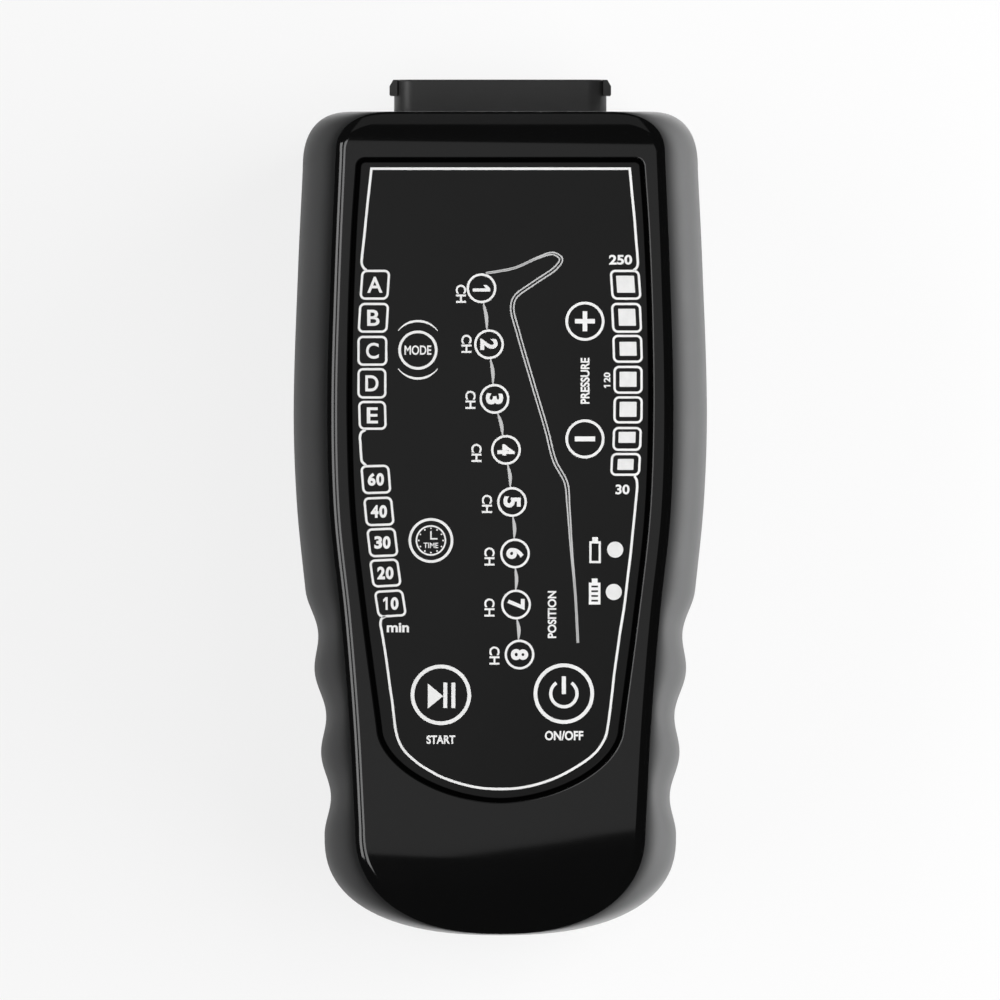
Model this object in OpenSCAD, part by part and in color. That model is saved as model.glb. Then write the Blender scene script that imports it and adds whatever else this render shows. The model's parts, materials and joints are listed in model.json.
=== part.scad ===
// Eight-channel compression therapy pump, lying on its back.
// Millimetres. +Z out of the front, +Y towards the hose connector, +X to the right of the front.
// The origin is under the middle of the whole length, on the surface the pump lies on.

/* [Casing] */
// Length of the casing without the hose connector
body_len = 200; // [196:1:212]
// Greatest width of the casing
body_w = 100.4; // [99:0.2:106]
// Height of the rear shell
shell_h = 37; // [36:0.5:44]
// Height of the rear shell's straight side above its rounded back edge
shell_side_h = 11; // [8:0.5:12]
// Rounding of the back edge, measured up the side
back_round_h = 12; // [9:0.5:13]
// Rounding of the back edge, measured across the back
back_round_w = 9; // [7:0.5:11]
// How much narrower each side is at the top shoulder than at the widest place
shoulder_in = 2.2; // [1:0.1:4]
// How much narrower each side is at the lower end
tail_in = 7.5; // [6:0.1:9]
// Length of each top corner, along the side
corner_len = 14; // [11:0.5:16]
// Width of each top corner, along the end
corner_w = 12; // [10:0.5:14]
// Length of the rounded lower end
tail_len = 23.9; // [21:0.1:27]
// Wall thickness of the rear shell
shell_wall = 2.4; // [2:0.1:2.8]
// Number of finger scallops on each side
scallops = 3; // [2:1:4]
// Distance from one scallop to the next
scallop_pitch = 20; // [18:0.5:22]
// Depth of a scallop
scallop_depth = 1.9; // [1:0.1:2.2]

/* [Front cover] */
// Greatest width of the front cover
cover_w = 83.9; // [82:0.1:88]
// Height of the front cover above the parting plane
cover_h = 8; // [7.5:0.1:10]
// How much narrower each side of the cover is at its top corners
cover_top_in = 2.05; // [1:0.05:3]
// How much narrower each side of the cover is at its lower end
cover_tail_in = 6.75; // [5:0.05:7]
// Length of each top corner of the cover
cover_corner_len = 10; // [8:0.5:13]
// Width of each top corner of the cover
cover_corner_w = 14; // [11:0.5:16]
// Wall thickness of the cover's sides
cover_wall = 2.4; // [2:0.1:2.8]
// Thickness of the cover under the overlay
cover_floor = 2.2; // [1.8:0.1:2.4]
// Rounding of the cover's upper edge
cover_fillet = 2.3; // [1.5:0.1:2.6]
// How far the cover drops at its top end
top_roll_drop = 2.2; // [1:0.1:2.8]
// Length of that drop
top_roll_len = 10; // [8:0.5:11]
// How far the cover drops at its lower end
tail_roll_drop = 4.2; // [3:0.1:4.6]
// Length of that drop
tail_roll_len = 27; // [20:0.5:28]

/* [Keypad overlay] */
// Greatest width of the overlay
overlay_w = 72; // [71:0.2:74]
// Distance from the casing's top end to the overlay
overlay_top = 12.4; // [11.5:0.1:13]
// Length of the overlay
overlay_len = 154.3; // [152:0.1:156]
// Thickness of the overlay
overlay_t = 1.4; // [1.2:0.1:1.6]
// How far the overlay lies below the cover's front
overlay_sunk = 0.2; // [0.1:0.05:0.4]
// Width of the groove round the overlay
overlay_groove = 0.8; // [0.5:0.1:1]

/* [Keys] */
// Travel of each key
key_travel = 0.5; // [0.3:0.05:0.6]
// Diameter of the mode key
mode_key_d = 9.6; // [8.5:0.1:10.5]
// Diameter of the time key
time_key_d = 10.9; // [9:0.1:11.5]
// Diameter of the two pressure keys
pressure_key_d = 9.5; // [8.5:0.1:10.5]
// Diameter of the start key and the power key
large_key_d = 14.7; // [13:0.1:15.5]
// Gap round each key in the overlay
key_gap = 0.12; // [0.08:0.01:0.2]
// Diameter of each key's stem
key_stem_d = 5; // [4:0.1:5.4]
// Diameter of the collar that holds each key in
key_collar_d = 7.4; // [6.8:0.1:8]

/* [Indicators] */
// Distance from one mode indicator to the next
mode_pitch = 7.9; // [7.6:0.1:8.2]
// Distance from one time indicator to the next
time_pitch = 7.5; // [7.3:0.1:7.8]
// Distance from one pressure indicator to the next
pressure_pitch = 7.25; // [7:0.05:7.5]
// Width of each light pipe
pipe_w = 3.6; // [3:0.1:4]

/* [Board] */
// Thickness of the main board
board_t = 1.6; // [1.2:0.1:2]
// Space between the cover's underside and the board
board_gap = 5.6; // [5.3:0.1:6]
// Height of each key switch
switch_h = 3.4; // [3:0.1:3.5]

/* [Hose connector] */
// How far the connector stands out of the casing
connector_out = 7.8; // [6.5:0.1:10]
// Width of the connector
connector_w = 51.6; // [50:0.2:54]
// Height of the connector
connector_h = 14; // [13:0.2:15]
// Corner radius of the connector
connector_r = 4.6; // [3.5:0.1:5.5]
// Wall thickness of the connector's socket
connector_wall = 1.6; // [1.4:0.1:2]
// Height of the connector's centre above the casing's back
connector_z = 19; // [18.5:0.1:20]
// Length of each latch lug
lug_len = 3.9; // [3:0.1:4.5]
// How far each latch lug stands out
lug_out = 1.1; // [0.8:0.1:1.5]
// Outer diameter of each air nipple
nipple_d = 3.6; // [3.2:0.1:4]
// Bore of each air nipple
nipple_bore = 2; // [1.6:0.1:2.2]
// Length of each nipple inside the socket
nipple_len = 5.5; // [4.5:0.1:5.8]
// Distance from the socket's side wall to the first nipple's centre
nipple_end = 4.6; // [4:0.1:5.6]

/* [Valves] */
// Width of the valve manifold along the casing
manifold_len = 12; // [11:0.5:13]
// Height of the manifold
manifold_h = 24.6; // [24:0.2:25.4]
// Diameter of each valve coil
coil_d = 9.5; // [8.5:0.1:10.5]
// Length of each valve coil
coil_len = 22; // [19:0.5:22.5]
// Diameter of each valve plunger
plunger_d = 3; // [2.6:0.1:3.4]
// Travel of each valve plunger
plunger_travel = 0.8; // [0.4:0.1:1]

/* [Pump] */
// Diameter of the pump motor
motor_d = 24.4; // [23:0.1:25]
// Length of the pump motor
motor_len = 31; // [29:0.5:31.5]
// Diameter of the pump head
head_d = 26; // [25.4:0.1:27]
// Diameter of the motor shaft
shaft_d = 2.3; // [2:0.1:2.6]
// Distance of the crank pin from the shaft's axis
crank_offset = 2.2; // [1.5:0.1:2.3]
// Outer diameter of the air hose
hose_d = 5; // [4.6:0.1:5.2]

/* [Battery] */
// Diameter of each battery cell
cell_d = 18.3; // [17.5:0.1:18.8]

/* [Charging jack] */
// Bore of the charging jack
jack_bore = 5.7; // [5.5:0.1:6]
// Depth of that bore
jack_depth = 9; // [8:0.5:10]
// Diameter of the jack's nose
jack_nose_d = 8; // [7.6:0.1:8.4]
// Height of the jack's centre above the casing's back
jack_z = 14; // [13:0.5:16]
// How far the jack's mouth lies inside the casing's lower end
jack_in = 0.4; // [0.2:0.1:1]

/* [Feet and screws] */
// Diameter of each rubber foot
foot_d = 12; // [10:0.5:14]
// How far each foot stands out of the back
foot_h = 1; // [0.6:0.1:2]
// How deep each foot is set into the back
foot_sunk = 1.2; // [0.8:0.1:1.4]
// Shank diameter of the case screws
case_screw_d = 3; // [2.6:0.1:3.2]
// Head diameter of the case screws
case_head_d = 5.4; // [5:0.1:5.6]
// Shank diameter of the board screws
board_screw_d = 2; // [1.8:0.1:2.2]

/* [Fits] */
// Radial gap of a sliding or turning fit
run_gap = 0.06; // [0.03:0.01:0.09]
// Radial gap round a screw in its thread hole, a lamp pipe or a cell
seat_gap = 0.04; // [0.02:0.01:0.08]
// Gap between bodies that move past each other
clear_gap = 0.3; // [0.2:0.05:0.4]

/* [Hidden] */

cut = 1;             // how far a cutting body runs past a face
fine = 64;           // sides of large round pieces
small = 32;          // sides of small round pieces

// Ends of the casing and the levels of its main faces
y_low = -(body_len + connector_out) / 2;
y_top = y_low + body_len;
back_z = foot_h;
part_z = back_z + shell_h;
front_z = part_z + cover_h;
floor_z = back_z + shell_wall;
recess_z = front_z - overlay_sunk - overlay_t;
overlay_z = recess_z + overlay_t;
under_z = recess_z - cover_floor;
board_top_z = under_z - board_gap;
board_z = board_top_z - board_t;
end_wall_y = y_top - shell_wall;

// ---- Outlines ----

function mix(a, b, f) = a + (b - a) * f;

// Smooth curve through points of rising first value
function span_at(p, s, i = 0) = (i >= len(p) - 2 || s <= p[i + 1][0]) ? i : span_at(p, s, i + 1);
function slope_at(p, i) = let (a = max(i - 1, 0), b = min(i + 1, len(p) - 1))
  (p[b][1] - p[a][1]) / (p[b][0] - p[a][0]);
function curve(p, s) = let (
    i = span_at(p, s), h = p[i + 1][0] - p[i][0], t = (s - p[i][0]) / h,
    t2 = t * t, t3 = t2 * t)
  (2 * t3 - 3 * t2 + 1) * p[i][1] + (t3 - 2 * t2 + t) * h * slope_at(p, i)
  + (3 * t2 - 2 * t3) * p[i + 1][1] + (t3 - t2) * h * slope_at(p, i + 1);

// Quarter of a superellipse about c, from angle a0 to a1
function quarter(c, size, n, a0, a1, steps) = [for (i = [0:steps])
  let (a = mix(a0, a1, i / steps))
  [c[0] + size[0] * pow(abs(cos(a)), 2 / n), c[1] + sign(sin(a)) * size[1] * pow(abs(sin(a)), 2 / n)]];

// The left half mirrors the right half, which runs from the top end to the middle of the lower end
function mirrored(half) = let (m = len(half))
  concat(half, [for (i = [m - 2:-1:0]) [-half[i][0], half[i][1]]]);

// Moves every point of an outline inwards along its normal
function inset(p, d) = let (n = len(p)) [for (i = [0:n - 1])
  let (a = p[(i + n - 1) % n], b = p[(i + 1) % n], out = [a[1] - b[1], b[0] - a[0]])
  p[i] - d * out / norm(out)];

corner_steps = 6;
tail_steps = 8;
upper_steps = 7;
steps_per_scallop = 8;

corner_n = 2.5;      // squareness of the casing's top corners
tail_n = 2.4;        // squareness of its lower end
cover_n = 2.3;       // squareness of the cover's corners

// Side of the casing: distance below the top end, half width
tail_y = y_low + tail_len;
scallop_zone = scallops * scallop_pitch;
tail_s = y_top - tail_y;
grip_s = tail_s - scallop_zone;
half_w = body_w / 2;
widest_s = 72;       // the widest place, below the top end
body_side = [[corner_len, half_w - shoulder_in], [mix(corner_len, widest_s, 0.4), half_w - shoulder_in * 0.5],
  [widest_s, half_w], [mix(widest_s, grip_s, 0.52), half_w - tail_in * 0.1],
  [grip_s, half_w - tail_in * 0.38], [mix(grip_s, tail_s, 1 / 3), half_w - tail_in * 0.68],
  [mix(grip_s, tail_s, 2 / 3), half_w - tail_in * 0.89], [tail_s, half_w - tail_in]];
function scallop(s) = s < grip_s || s > tail_s ? 0
  : scallop_depth * (1 - cos(360 * (s - grip_s) / scallop_pitch)) / 2;

// Stations along the side, closer together where the scallops are
side_steps = concat([for (i = [0:upper_steps - 1]) i / upper_steps * (grip_s - corner_len)],
  [for (i = [0:scallops * steps_per_scallop])
    grip_s - corner_len + i / (scallops * steps_per_scallop) * scallop_zone]);
side_share = side_steps / (tail_s - corner_len);

function body_outline(wave) = mirrored(concat(
  quarter([half_w - shoulder_in - corner_w, y_top - corner_len], [corner_w, corner_len], corner_n,
    90, 10, corner_steps),
  [for (s = side_steps + [for (i = side_steps) corner_len])
    [curve(body_side, s) - wave * scallop(s), y_top - s]],
  quarter([0, tail_y], [half_w - tail_in, tail_len], tail_n, -8, -90, tail_steps)));

// Front cover
cover_top_y = y_top - 0.2;
cover_low_y = y_low + 0.5;
cover_half = cover_w / 2;
cover_tail_y = tail_y + 2;
cover_s0 = y_top - cover_top_y + cover_corner_len;
cover_s1 = y_top - cover_tail_y;
cover_side = [[cover_s0, cover_half - cover_top_in],
  [mix(cover_s0, widest_s, 0.5), cover_half - cover_top_in * 0.37],
  [widest_s, cover_half], [mix(widest_s, cover_s1, 0.25), cover_half - cover_tail_in * 0.1],
  [mix(widest_s, cover_s1, 0.5), cover_half - cover_tail_in * 0.5],
  [mix(widest_s, cover_s1, 0.75), cover_half - cover_tail_in * 0.8], [cover_s1, cover_half - cover_tail_in]];
cover_outline = mirrored(concat(
  quarter([cover_half - cover_top_in - cover_corner_w, cover_top_y - cover_corner_len],
    [cover_corner_w, cover_corner_len], cover_n, 90, 10, corner_steps),
  [for (f = side_share) let (s = mix(cover_s0, cover_s1, f)) [curve(cover_side, s), y_top - s]],
  quarter([0, cover_tail_y], [cover_half - cover_tail_in, cover_tail_y - cover_low_y], cover_n,
    -8, -90, tail_steps)));

// Drop of the cover's front at its two ends
top_roll_y = cover_top_y - top_roll_len;
tail_roll_y = cover_low_y + tail_roll_len;
function roll(y) = y > top_roll_y ? top_roll_drop * pow((y - top_roll_y) / top_roll_len, 2)
  : y < tail_roll_y ? tail_roll_drop * pow((tail_roll_y - y) / tail_roll_len, 2) : 0;

// Overlay and its recess
overlay_y1 = y_top - overlay_top;
overlay_y0 = overlay_y1 - overlay_len;
overlay_half = overlay_w / 2;
overlay_top_in = 2.1;
overlay_tail_in = 7.2;
overlay_tail_len = 17.1;
overlay_corner = 1.2;
overlay_side = [[0, overlay_half - overlay_top_in], [0.12, overlay_half - overlay_top_in * 0.48],
  [0.28, overlay_half - overlay_top_in * 0.1], [0.45, overlay_half],
  [0.62, overlay_half - overlay_tail_in * 0.12], [0.8, overlay_half - overlay_tail_in * 0.5],
  [1, overlay_half - overlay_tail_in]];
overlay_steps = 10;
overlay_side_y1 = overlay_y1 - overlay_corner;
overlay_side_y0 = overlay_y0 + overlay_tail_len;
overlay_outline = mirrored(concat(
  quarter([overlay_half - overlay_top_in - overlay_corner, overlay_side_y1],
    [overlay_corner, overlay_corner], 2, 90, 15, 4),
  [for (i = [0:overlay_steps]) let (f = i / overlay_steps)
    [curve(overlay_side, f), mix(overlay_side_y1, overlay_side_y0, f)]],
  quarter([0, overlay_side_y0], [overlay_half - overlay_tail_in, overlay_tail_len], 1.8, -8, -90, 9)));

// ---- Lofts ----

function level(p, z) = [for (q = p) [q[0], q[1], z]];
function blend(p, q, f) = [for (i = [0:len(p) - 1]) mix(p[i], q[i], f)];

// Closed body through rings of equal length, lowest ring first; the caps run straight across in x
module loft(rings) {
  n = len(rings[0]);
  m = (n + 1) / 2;
  last = (len(rings) - 1) * n;
  polyhedron(
    points = [for (r = rings) each r],
    faces = concat(
      [for (k = [0:len(rings) - 2], i = [0:n - 1]) let (j = (i + 1) % n)
        each [[k * n + i, k * n + j, (k + 1) * n + j], [k * n + i, (k + 1) * n + j, (k + 1) * n + i]]],
      [for (i = [0:m - 3]) [n - 1 - i, n - 2 - i, i + 1, i]],
      [[m, m - 1, m - 2]],
      [for (i = [0:m - 3]) [last + i, last + i + 1, last + n - 2 - i, last + n - 1 - i]],
      [[last + m - 2, last + m - 1, last + m]]));
}

// Rings of the casing, inset by the wall for the hollow
back_wave = 0.3;     // share of the scallops left at the back
side_z = back_z + back_round_h;
shoulder_z = side_z + shell_side_h;
function back_ring(wall, a) = level(
  inset(body_outline(mix(1, back_wave, 1 - cos(a))), wall + (back_round_w - wall) * (1 - cos(a))),
  side_z - (back_round_h - wall) * sin(a));
function shoulder_ring(wall, a) = level(
  blend(inset(body_outline(1), wall), inset(cover_outline, wall), 1 - cos(a)),
  shoulder_z + (part_z - wall - shoulder_z) * sin(a));

module casing_outside() loft(concat(
  [for (a = [90, 66, 42, 20, 0]) back_ring(0, a)],
  [for (a = [0, 18, 36, 54, 72, 90]) shoulder_ring(0, a)]));

module casing_inside() loft(concat(
  [for (a = [90, 55, 25, 0]) back_ring(shell_wall, a)],
  [for (a = [0, 30, 60, 90]) shoulder_ring(shell_wall, a)],
  [level(inset(cover_outline, shell_wall), part_z + cut)]));

function cover_ring(d, drop) = [for (q = inset(cover_outline, d)) [q[0], q[1], front_z - drop - roll(q[1])]];

module cover_outside() loft(concat(
  [level(cover_outline, part_z)],
  [for (a = [0, 30, 60, 90]) cover_ring(cover_fillet * (1 - cos(a)), cover_fillet * (1 - sin(a)))]));

module cover_inside() loft([
  level(inset(cover_outline, cover_wall), part_z - cut),
  cover_ring(cover_wall, front_z - under_z)]);

// ---- Places ----

// Centre of each key on the front
mode_key_at = [-19.95, y_top - 58];
time_key_at = [-16.8, y_top - 104.1];
pressure_up_at = [20.5, y_top - 51];
pressure_down_at = [20.5, y_top - 79.5];
start_key_at = [-14.4, y_top - 141.5];
power_key_at = [15.4, y_top - 141.2];
keys = [[mode_key_at, mode_key_d], [time_key_at, time_key_d], [pressure_up_at, pressure_key_d],
  [pressure_down_at, pressure_key_d], [start_key_at, large_key_d], [power_key_at, large_key_d]];

// Centre of each indicator on the front
first_row_y = y_top - 42.2;
time_row_y = y_top - 89.3;
time_lean = 0.88;
mode_lamps = [for (i = [0:4]) [-30.5, first_row_y - i * mode_pitch]];
time_lamps = [for (i = [0:4]) [-30.1 + i * time_lean, time_row_y - i * time_pitch]];
pressure_lamps = [for (i = [0:6]) [30.7, first_row_y - i * pressure_pitch]];
channel_lamps = [for (i = [0:7]) [-4.6 + 1.9 * i - 0.083 * i * i, y_top - 43 - 13.45 * i + 0.11 * i * i]];
battery_lamps = [[27.9, y_top - 106.4], [27.5, y_top - 116.6]];
all_lamps = concat(mode_lamps, time_lamps, pressure_lamps, channel_lamps, battery_lamps);

// Screws and feet
case_screws_at = [[33.6, y_top - 14.1], [-33.6, y_top - 14.1], [20, y_low + 16.9], [-20, y_low + 16.9]];
board_screws_at = [[22, y_top - 20], [-22, y_top - 20], [25, y_low + 49.5], [-25, y_low + 49.5]];
feet_at = [[28, y_top - 38], [-28, y_top - 38], [22, y_low + 36], [-22, y_low + 36]];
boss_wall = 1.9;
column_wall = 1.2;
head_gap = 0.3;      // radial room round a screw head
screw_in_cover = 11; // from a case screw's seat to the parting plane
screw_seat_z = part_z - screw_in_cover;

// Charging jack, intake grille and the bare place for a label
jack_cz = back_z + jack_z;
jack_w = 9;
jack_h = 11;
jack_len = 13;
jack_set_in = 1;      // from the inside of the end wall to the jack's body
jack_y = y_low + shell_wall + jack_set_in;
grille_at = [21, y_top - 76];
grille_slots = 6;
grille_pitch = 3.6;
slot_w = 1.6;
slot_len = 20;
label_at = [0, y_low + 77];
label_w = 46;
label_len = 30;
label_deep = 0.5;

// Hose connector, from the end wall outwards and inwards
connector_cz = back_z + connector_z;
connector_y1 = y_top + connector_out;
socket_y = connector_y1 - nipple_len - 1.4;
flange_t = 2.2;
flange_lip = 2.4;
gasket_t = 0.6;
gasket_sunk = 0.3;   // depth of the gasket's seat in the end wall
gasket_y1 = end_wall_y + gasket_sunk;
gasket_y = gasket_y1 - gasket_t;
nipple_pitch = (connector_w - 2 * connector_wall - 2 * nipple_end) / 7;
nipple_x = [for (i = [0:7]) (i - 3.5) * nipple_pitch];
nipple_root_d = nipple_d + 1;

// Valves, in two rows of four, and the pump behind them
manifold_y1 = end_wall_y - 7.2;
manifold_y0 = manifold_y1 - manifold_len;
manifold_z = floor_z + manifold_h;
coil_y0 = manifold_y0 - coil_len;
coil_pitch = 12.4;
coil_rise = 11.6;    // from the lower row to the upper row
coil_end = 3.5;      // closed end of each coil
coils = [for (i = [0:7])
  [((i % 4) - 1.5) * coil_pitch, floor_z + 1.85 + coil_d / 2 + (i < 4 ? 0 : coil_rise)]];
chamber = 3;         // depth of each valve chamber in the manifold
pump_x = -16;
pump_z = floor_z + 1.6 + head_d / 2;
hose_x = pump_x - 10.5;
barb_len = 3;
barb_d = hose_d - 2;
barb_bore = hose_d - 3.4;
cap_t = 4.8;
cap_y1 = coil_y0 - 2;
cap_y0 = cap_y1 - cap_t;
diaphragm_t = 1.2;
head_y1 = cap_y0 - diaphragm_t;
head_len = 16;
head_wall = 2.5;
motor_y1 = head_y1 - head_len;
motor_y0 = motor_y1 - motor_len;
sensor_at = [connector_w / 2 - 6.8, y_top - 14];

// Battery at the lower end
battery_gap = 11.5;   // room for the leads and plugs between motor and cells
cell_y0 = y_low + 24.9;
cell_y1 = motor_y0 - battery_gap;
tray_wall = 1.5;
cell_x = cell_d / 2 + 0.25;
cell_z = floor_z + tray_wall + cell_d / 2;

// ---- Basic forms ----

// Round post from z0 to z1
module post(at, z0, z1, d, sides = small)
  translate([at[0], at[1], z0]) cylinder(h = z1 - z0, d = d, $fn = sides);

// Round bar along +Y from y0 to y1 about the line x, z
module bar(at, y0, y1, d, sides = small)
  translate([at[0], y0, at[1]]) rotate([-90, 0, 0]) cylinder(h = y1 - y0, d = d, $fn = sides);

// Block given by its lowest and highest corner
module block(low, high) translate(low) cube(high - low);

// Block about a place in x and y, from z0 to z1
module pad(at, w, len, z0, z1)
  block([at[0] - w / 2, at[1] - len / 2, z0], [at[0] + w / 2, at[1] + len / 2, z1]);

// Bar of rounded rectangular section about the connector's axis, grown by g all round
module connector_bar(g, y0, y1) {
  w = connector_w + 2 * g;
  h = connector_h + 2 * g;
  r = max(connector_r + g, 0.5);
  translate([0, y1, connector_cz]) rotate([90, 0, 0]) linear_extrude(y1 - y0) {
    square([w - 2 * r, h], center = true);
    square([w, h - 2 * r], center = true);
    for (x = [-1, 1], v = [-1, 1]) translate([x * (w / 2 - r), v * (h / 2 - r)]) circle(r, $fn = small);
  }
}

// ---- Casing ----

module rear_shell() color([0.07, 0.07, 0.075]) difference() {
  union() {
    difference() {
      casing_outside();
      casing_inside();
    }
    for (p = case_screws_at) post(p, floor_z - cut, part_z, case_head_d + 2 * head_gap + 2 * column_wall);
    block([-jack_w / 2, y_low + back_round_w + 1, floor_z - cut],
      [jack_w / 2, jack_y + jack_len, jack_cz - jack_h / 2]);
  }
  for (p = case_screws_at) {
    post(p, back_z - cut, screw_seat_z, case_head_d + 2 * head_gap);
    post(p, back_z, part_z + cut, case_screw_d + 4 * run_gap);
  }
  for (p = feet_at) post(p, back_z - cut, back_z + foot_sunk, foot_d + 2 * seat_gap);
  connector_bar(seat_gap, gasket_y, y_top + cut);
  connector_bar(flange_lip + seat_gap, gasket_y - 2 * cut, gasket_y1);
  bar([0, jack_cz], y_low - cut, jack_y + cut / 2, jack_nose_d + 2 * seat_gap);
  for (i = [0:grille_slots - 1])
    pad(grille_at + [0, (i - (grille_slots - 1) / 2) * grille_pitch], slot_len, slot_w,
      back_z - cut, floor_z + cut);
  pad(label_at, label_w, label_len, back_z - cut, back_z + label_deep);
}

module front_cover() color([0.03, 0.03, 0.035]) difference() {
  union() {
    difference() {
      cover_outside();
      cover_inside();
    }
    for (p = case_screws_at) post(p, part_z, under_z + cut, case_screw_d + 2 * boss_wall);
    for (p = board_screws_at) post(p, board_top_z, under_z + cut, board_screw_d + 2 * boss_wall);
  }
  translate([0, 0, recess_z]) linear_extrude(cover_h) polygon(inset(overlay_outline, -overlay_groove));
  for (k = keys) post(k[0], under_z - cut, recess_z + cut, key_stem_d + 2 * run_gap);
  for (p = all_lamps) pad(p, pipe_w + 2 * seat_gap, pipe_w + 2 * seat_gap, under_z - cut, recess_z + cut);
  for (p = case_screws_at) post(p, part_z - cut, under_z, case_screw_d + 2 * seat_gap);
  for (p = board_screws_at) post(p, board_top_z - cut, under_z - cut, board_screw_d + 2 * seat_gap);
}

module keypad_overlay() color([0.04, 0.04, 0.045]) difference() {
  translate([0, 0, recess_z]) linear_extrude(overlay_t) polygon(overlay_outline);
  for (k = keys) post(k[0], recess_z - cut, overlay_z + cut, k[1] + 2 * key_gap, fine);
}

// ---- Keys ----

cap_room = 0.1;      // left under a key's cap when it is pressed
cap_z = recess_z + key_travel + cap_room;
collar_t = 1;
collar_z = under_z - clear_gap;
tip_d = 3.3;
tip_in = 0.9;        // how far the tip stands in the switch at rest
switch_z = board_top_z + switch_h;
switch_w = 6;

module key(k) color([0.04, 0.04, 0.045]) {
  post(k[0], cap_z, overlay_z, k[1], fine);
  post(k[0], collar_z - collar_t / 2, cap_z + collar_t / 4, key_stem_d);
  post(k[0], collar_z - collar_t, collar_z, key_collar_d);
  post(k[0], switch_z - tip_in, collar_z - collar_t / 2, tip_d);
}

module key_mode() key(keys[0]);
module key_time() key(keys[1]);
module key_pressure_up() key(keys[2]);
module key_pressure_down() key(keys[3]);
module key_start() key(keys[4]);
module key_power() key(keys[5]);

module key_switches() color([0.1, 0.1, 0.1]) for (k = keys) difference() {
  pad(k[0], switch_w, switch_w, board_top_z, switch_z);
  post(k[0], switch_z - tip_in - key_travel - clear_gap, switch_z + cut, tip_d + 2 * run_gap);
}

// ---- Indicators ----

lamp_w = 2.8;
lamp_h = 1;
pipe_flange = 0.8;   // thickness of each pipe's flange
pipe_lip = 0.7;      // how far the flange stands out

module light_pipes(places) color([0.85, 0.87, 0.9]) for (p = places) {
  pad(p, pipe_w, pipe_w, board_top_z + lamp_h + clear_gap, recess_z);
  pad(p, pipe_w + 2 * pipe_lip, pipe_w + 2 * pipe_lip, under_z - pipe_flange, under_z);
}

module mode_light_pipes() light_pipes(mode_lamps);
module time_light_pipes() light_pipes(time_lamps);
module pressure_light_pipes() light_pipes(pressure_lamps);
module channel_light_pipes() light_pipes(channel_lamps);
module battery_light_pipes() light_pipes(battery_lamps);

module indicator_lamps() color([0.95, 0.95, 0.85])
  for (p = all_lamps) pad(p, lamp_w, lamp_w, board_top_z, board_top_z + lamp_h);

// ---- Board ----

board_head_d = 3.8;
board_head_h = 1.3;
board_screw_in = 4;  // how far a board screw enters its boss
board_corners = [[27, y_top - 10], [34, y_top - 32], [34, y_top - 120], [29, y_low + 45]];
board_outline = concat(board_corners, [for (i = [3:-1:0]) [-board_corners[i][0], board_corners[i][1]]]);

module main_board() color([0.05, 0.3, 0.16]) difference() {
  translate([0, 0, board_z]) linear_extrude(board_t) polygon(board_outline);
  for (p = board_screws_at) post(p, board_z - cut, board_top_z + cut, board_screw_d + 4 * run_gap);
}

module board_screws() color([0.75, 0.75, 0.77]) for (p = board_screws_at) {
  post(p, board_z - board_head_h, board_z, board_head_d);
  post(p, board_z - board_head_h / 2, board_top_z + board_screw_in, board_screw_d);
}

chip_h = 1.2;
capacitor_d = 6;
capacitor_h = 5;
controller_w = 12;
controller_in = 76;  // from the casing's top end to the controller
driver_w = 8;        // two drivers for the coils
driver_x = 12;
driver_in = 54;
charger_w = 7;
charger_in = 13.9;   // from the cells' end to the charger, clear of the battery plugs
capacitor_x = 6;
capacitor_in = 23.9;
chips = [[[0, y_top - controller_in], controller_w], [[driver_x, y_top - driver_in], driver_w],
  [[-driver_x, y_top - driver_in], driver_w], [[driver_x, cell_y1 - charger_in], charger_w]];
capacitors_at = [for (x = [-capacitor_x, capacitor_x]) [x, cell_y1 - capacitor_in]];

module board_components() color([0.12, 0.12, 0.13]) {
  for (c = chips) pad(c[0], c[1], c[1], board_z - chip_h, board_z);
  for (p = capacitors_at) post(p, board_z - capacitor_h, board_z, capacitor_d);
}

buzzer_x = 24;
buzzer_in = 10.9;    // from the cells' end
buzzer_at = [buzzer_x, cell_y1 - buzzer_in];
buzzer_d = 12;
buzzer_h = 5;

module buzzer() color([0.08, 0.08, 0.08]) difference() {
  post(buzzer_at, board_z - buzzer_h, board_z, buzzer_d);
  post(buzzer_at, board_z - buzzer_h - cut, board_z - buzzer_h + cut, 2);
}

sensor_w = 7;
sensor_h = 4;

module pressure_sensor() color([0.15, 0.15, 0.16])
  pad(sensor_at, sensor_w, sensor_w, board_z - sensor_h, board_z);

// ---- Leads ----

plug_h = 4;
plug_len = 4;
plug_z = board_z - plug_h;
lead_d = 1.6;
lead_bend = 3;
lead_out = 1;        // straight stretch before the bend
lead_reach = lead_out + lead_bend;
motor_lead_x = [pump_x - 4, pump_x + 4];
battery_lead_x = [6 - cell_x, 6 + cell_x];
lead_colors = [[0.7, 0.05, 0.05], [0.05, 0.05, 0.05]];

module board_plugs() color([0.9, 0.9, 0.86]) {
  pad([pump_x, motor_y0 - lead_reach], 14, plug_len, plug_z, board_z);
  for (x = battery_lead_x) pad([x, cell_y1 + lead_reach], 6, plug_len, plug_z, board_z);
}

// Lead that leaves x, y, z towards dir in y, bends up and ends at its plug
module lead(x, y, z, dir) {
  translate([x, y, z]) rotate([dir * -90, 0, 0]) cylinder(h = lead_out, d = lead_d, $fn = small);
  translate([x, y + dir * lead_out, z + lead_bend]) rotate([0, 90, 0]) rotate([0, 0, dir > 0 ? 0 : -90])
    rotate_extrude(angle = 90, $fn = small) translate([lead_bend, 0]) circle(d = lead_d, $fn = small);
  post([x, y + dir * lead_reach], z + lead_bend, plug_z, lead_d);
}

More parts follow.
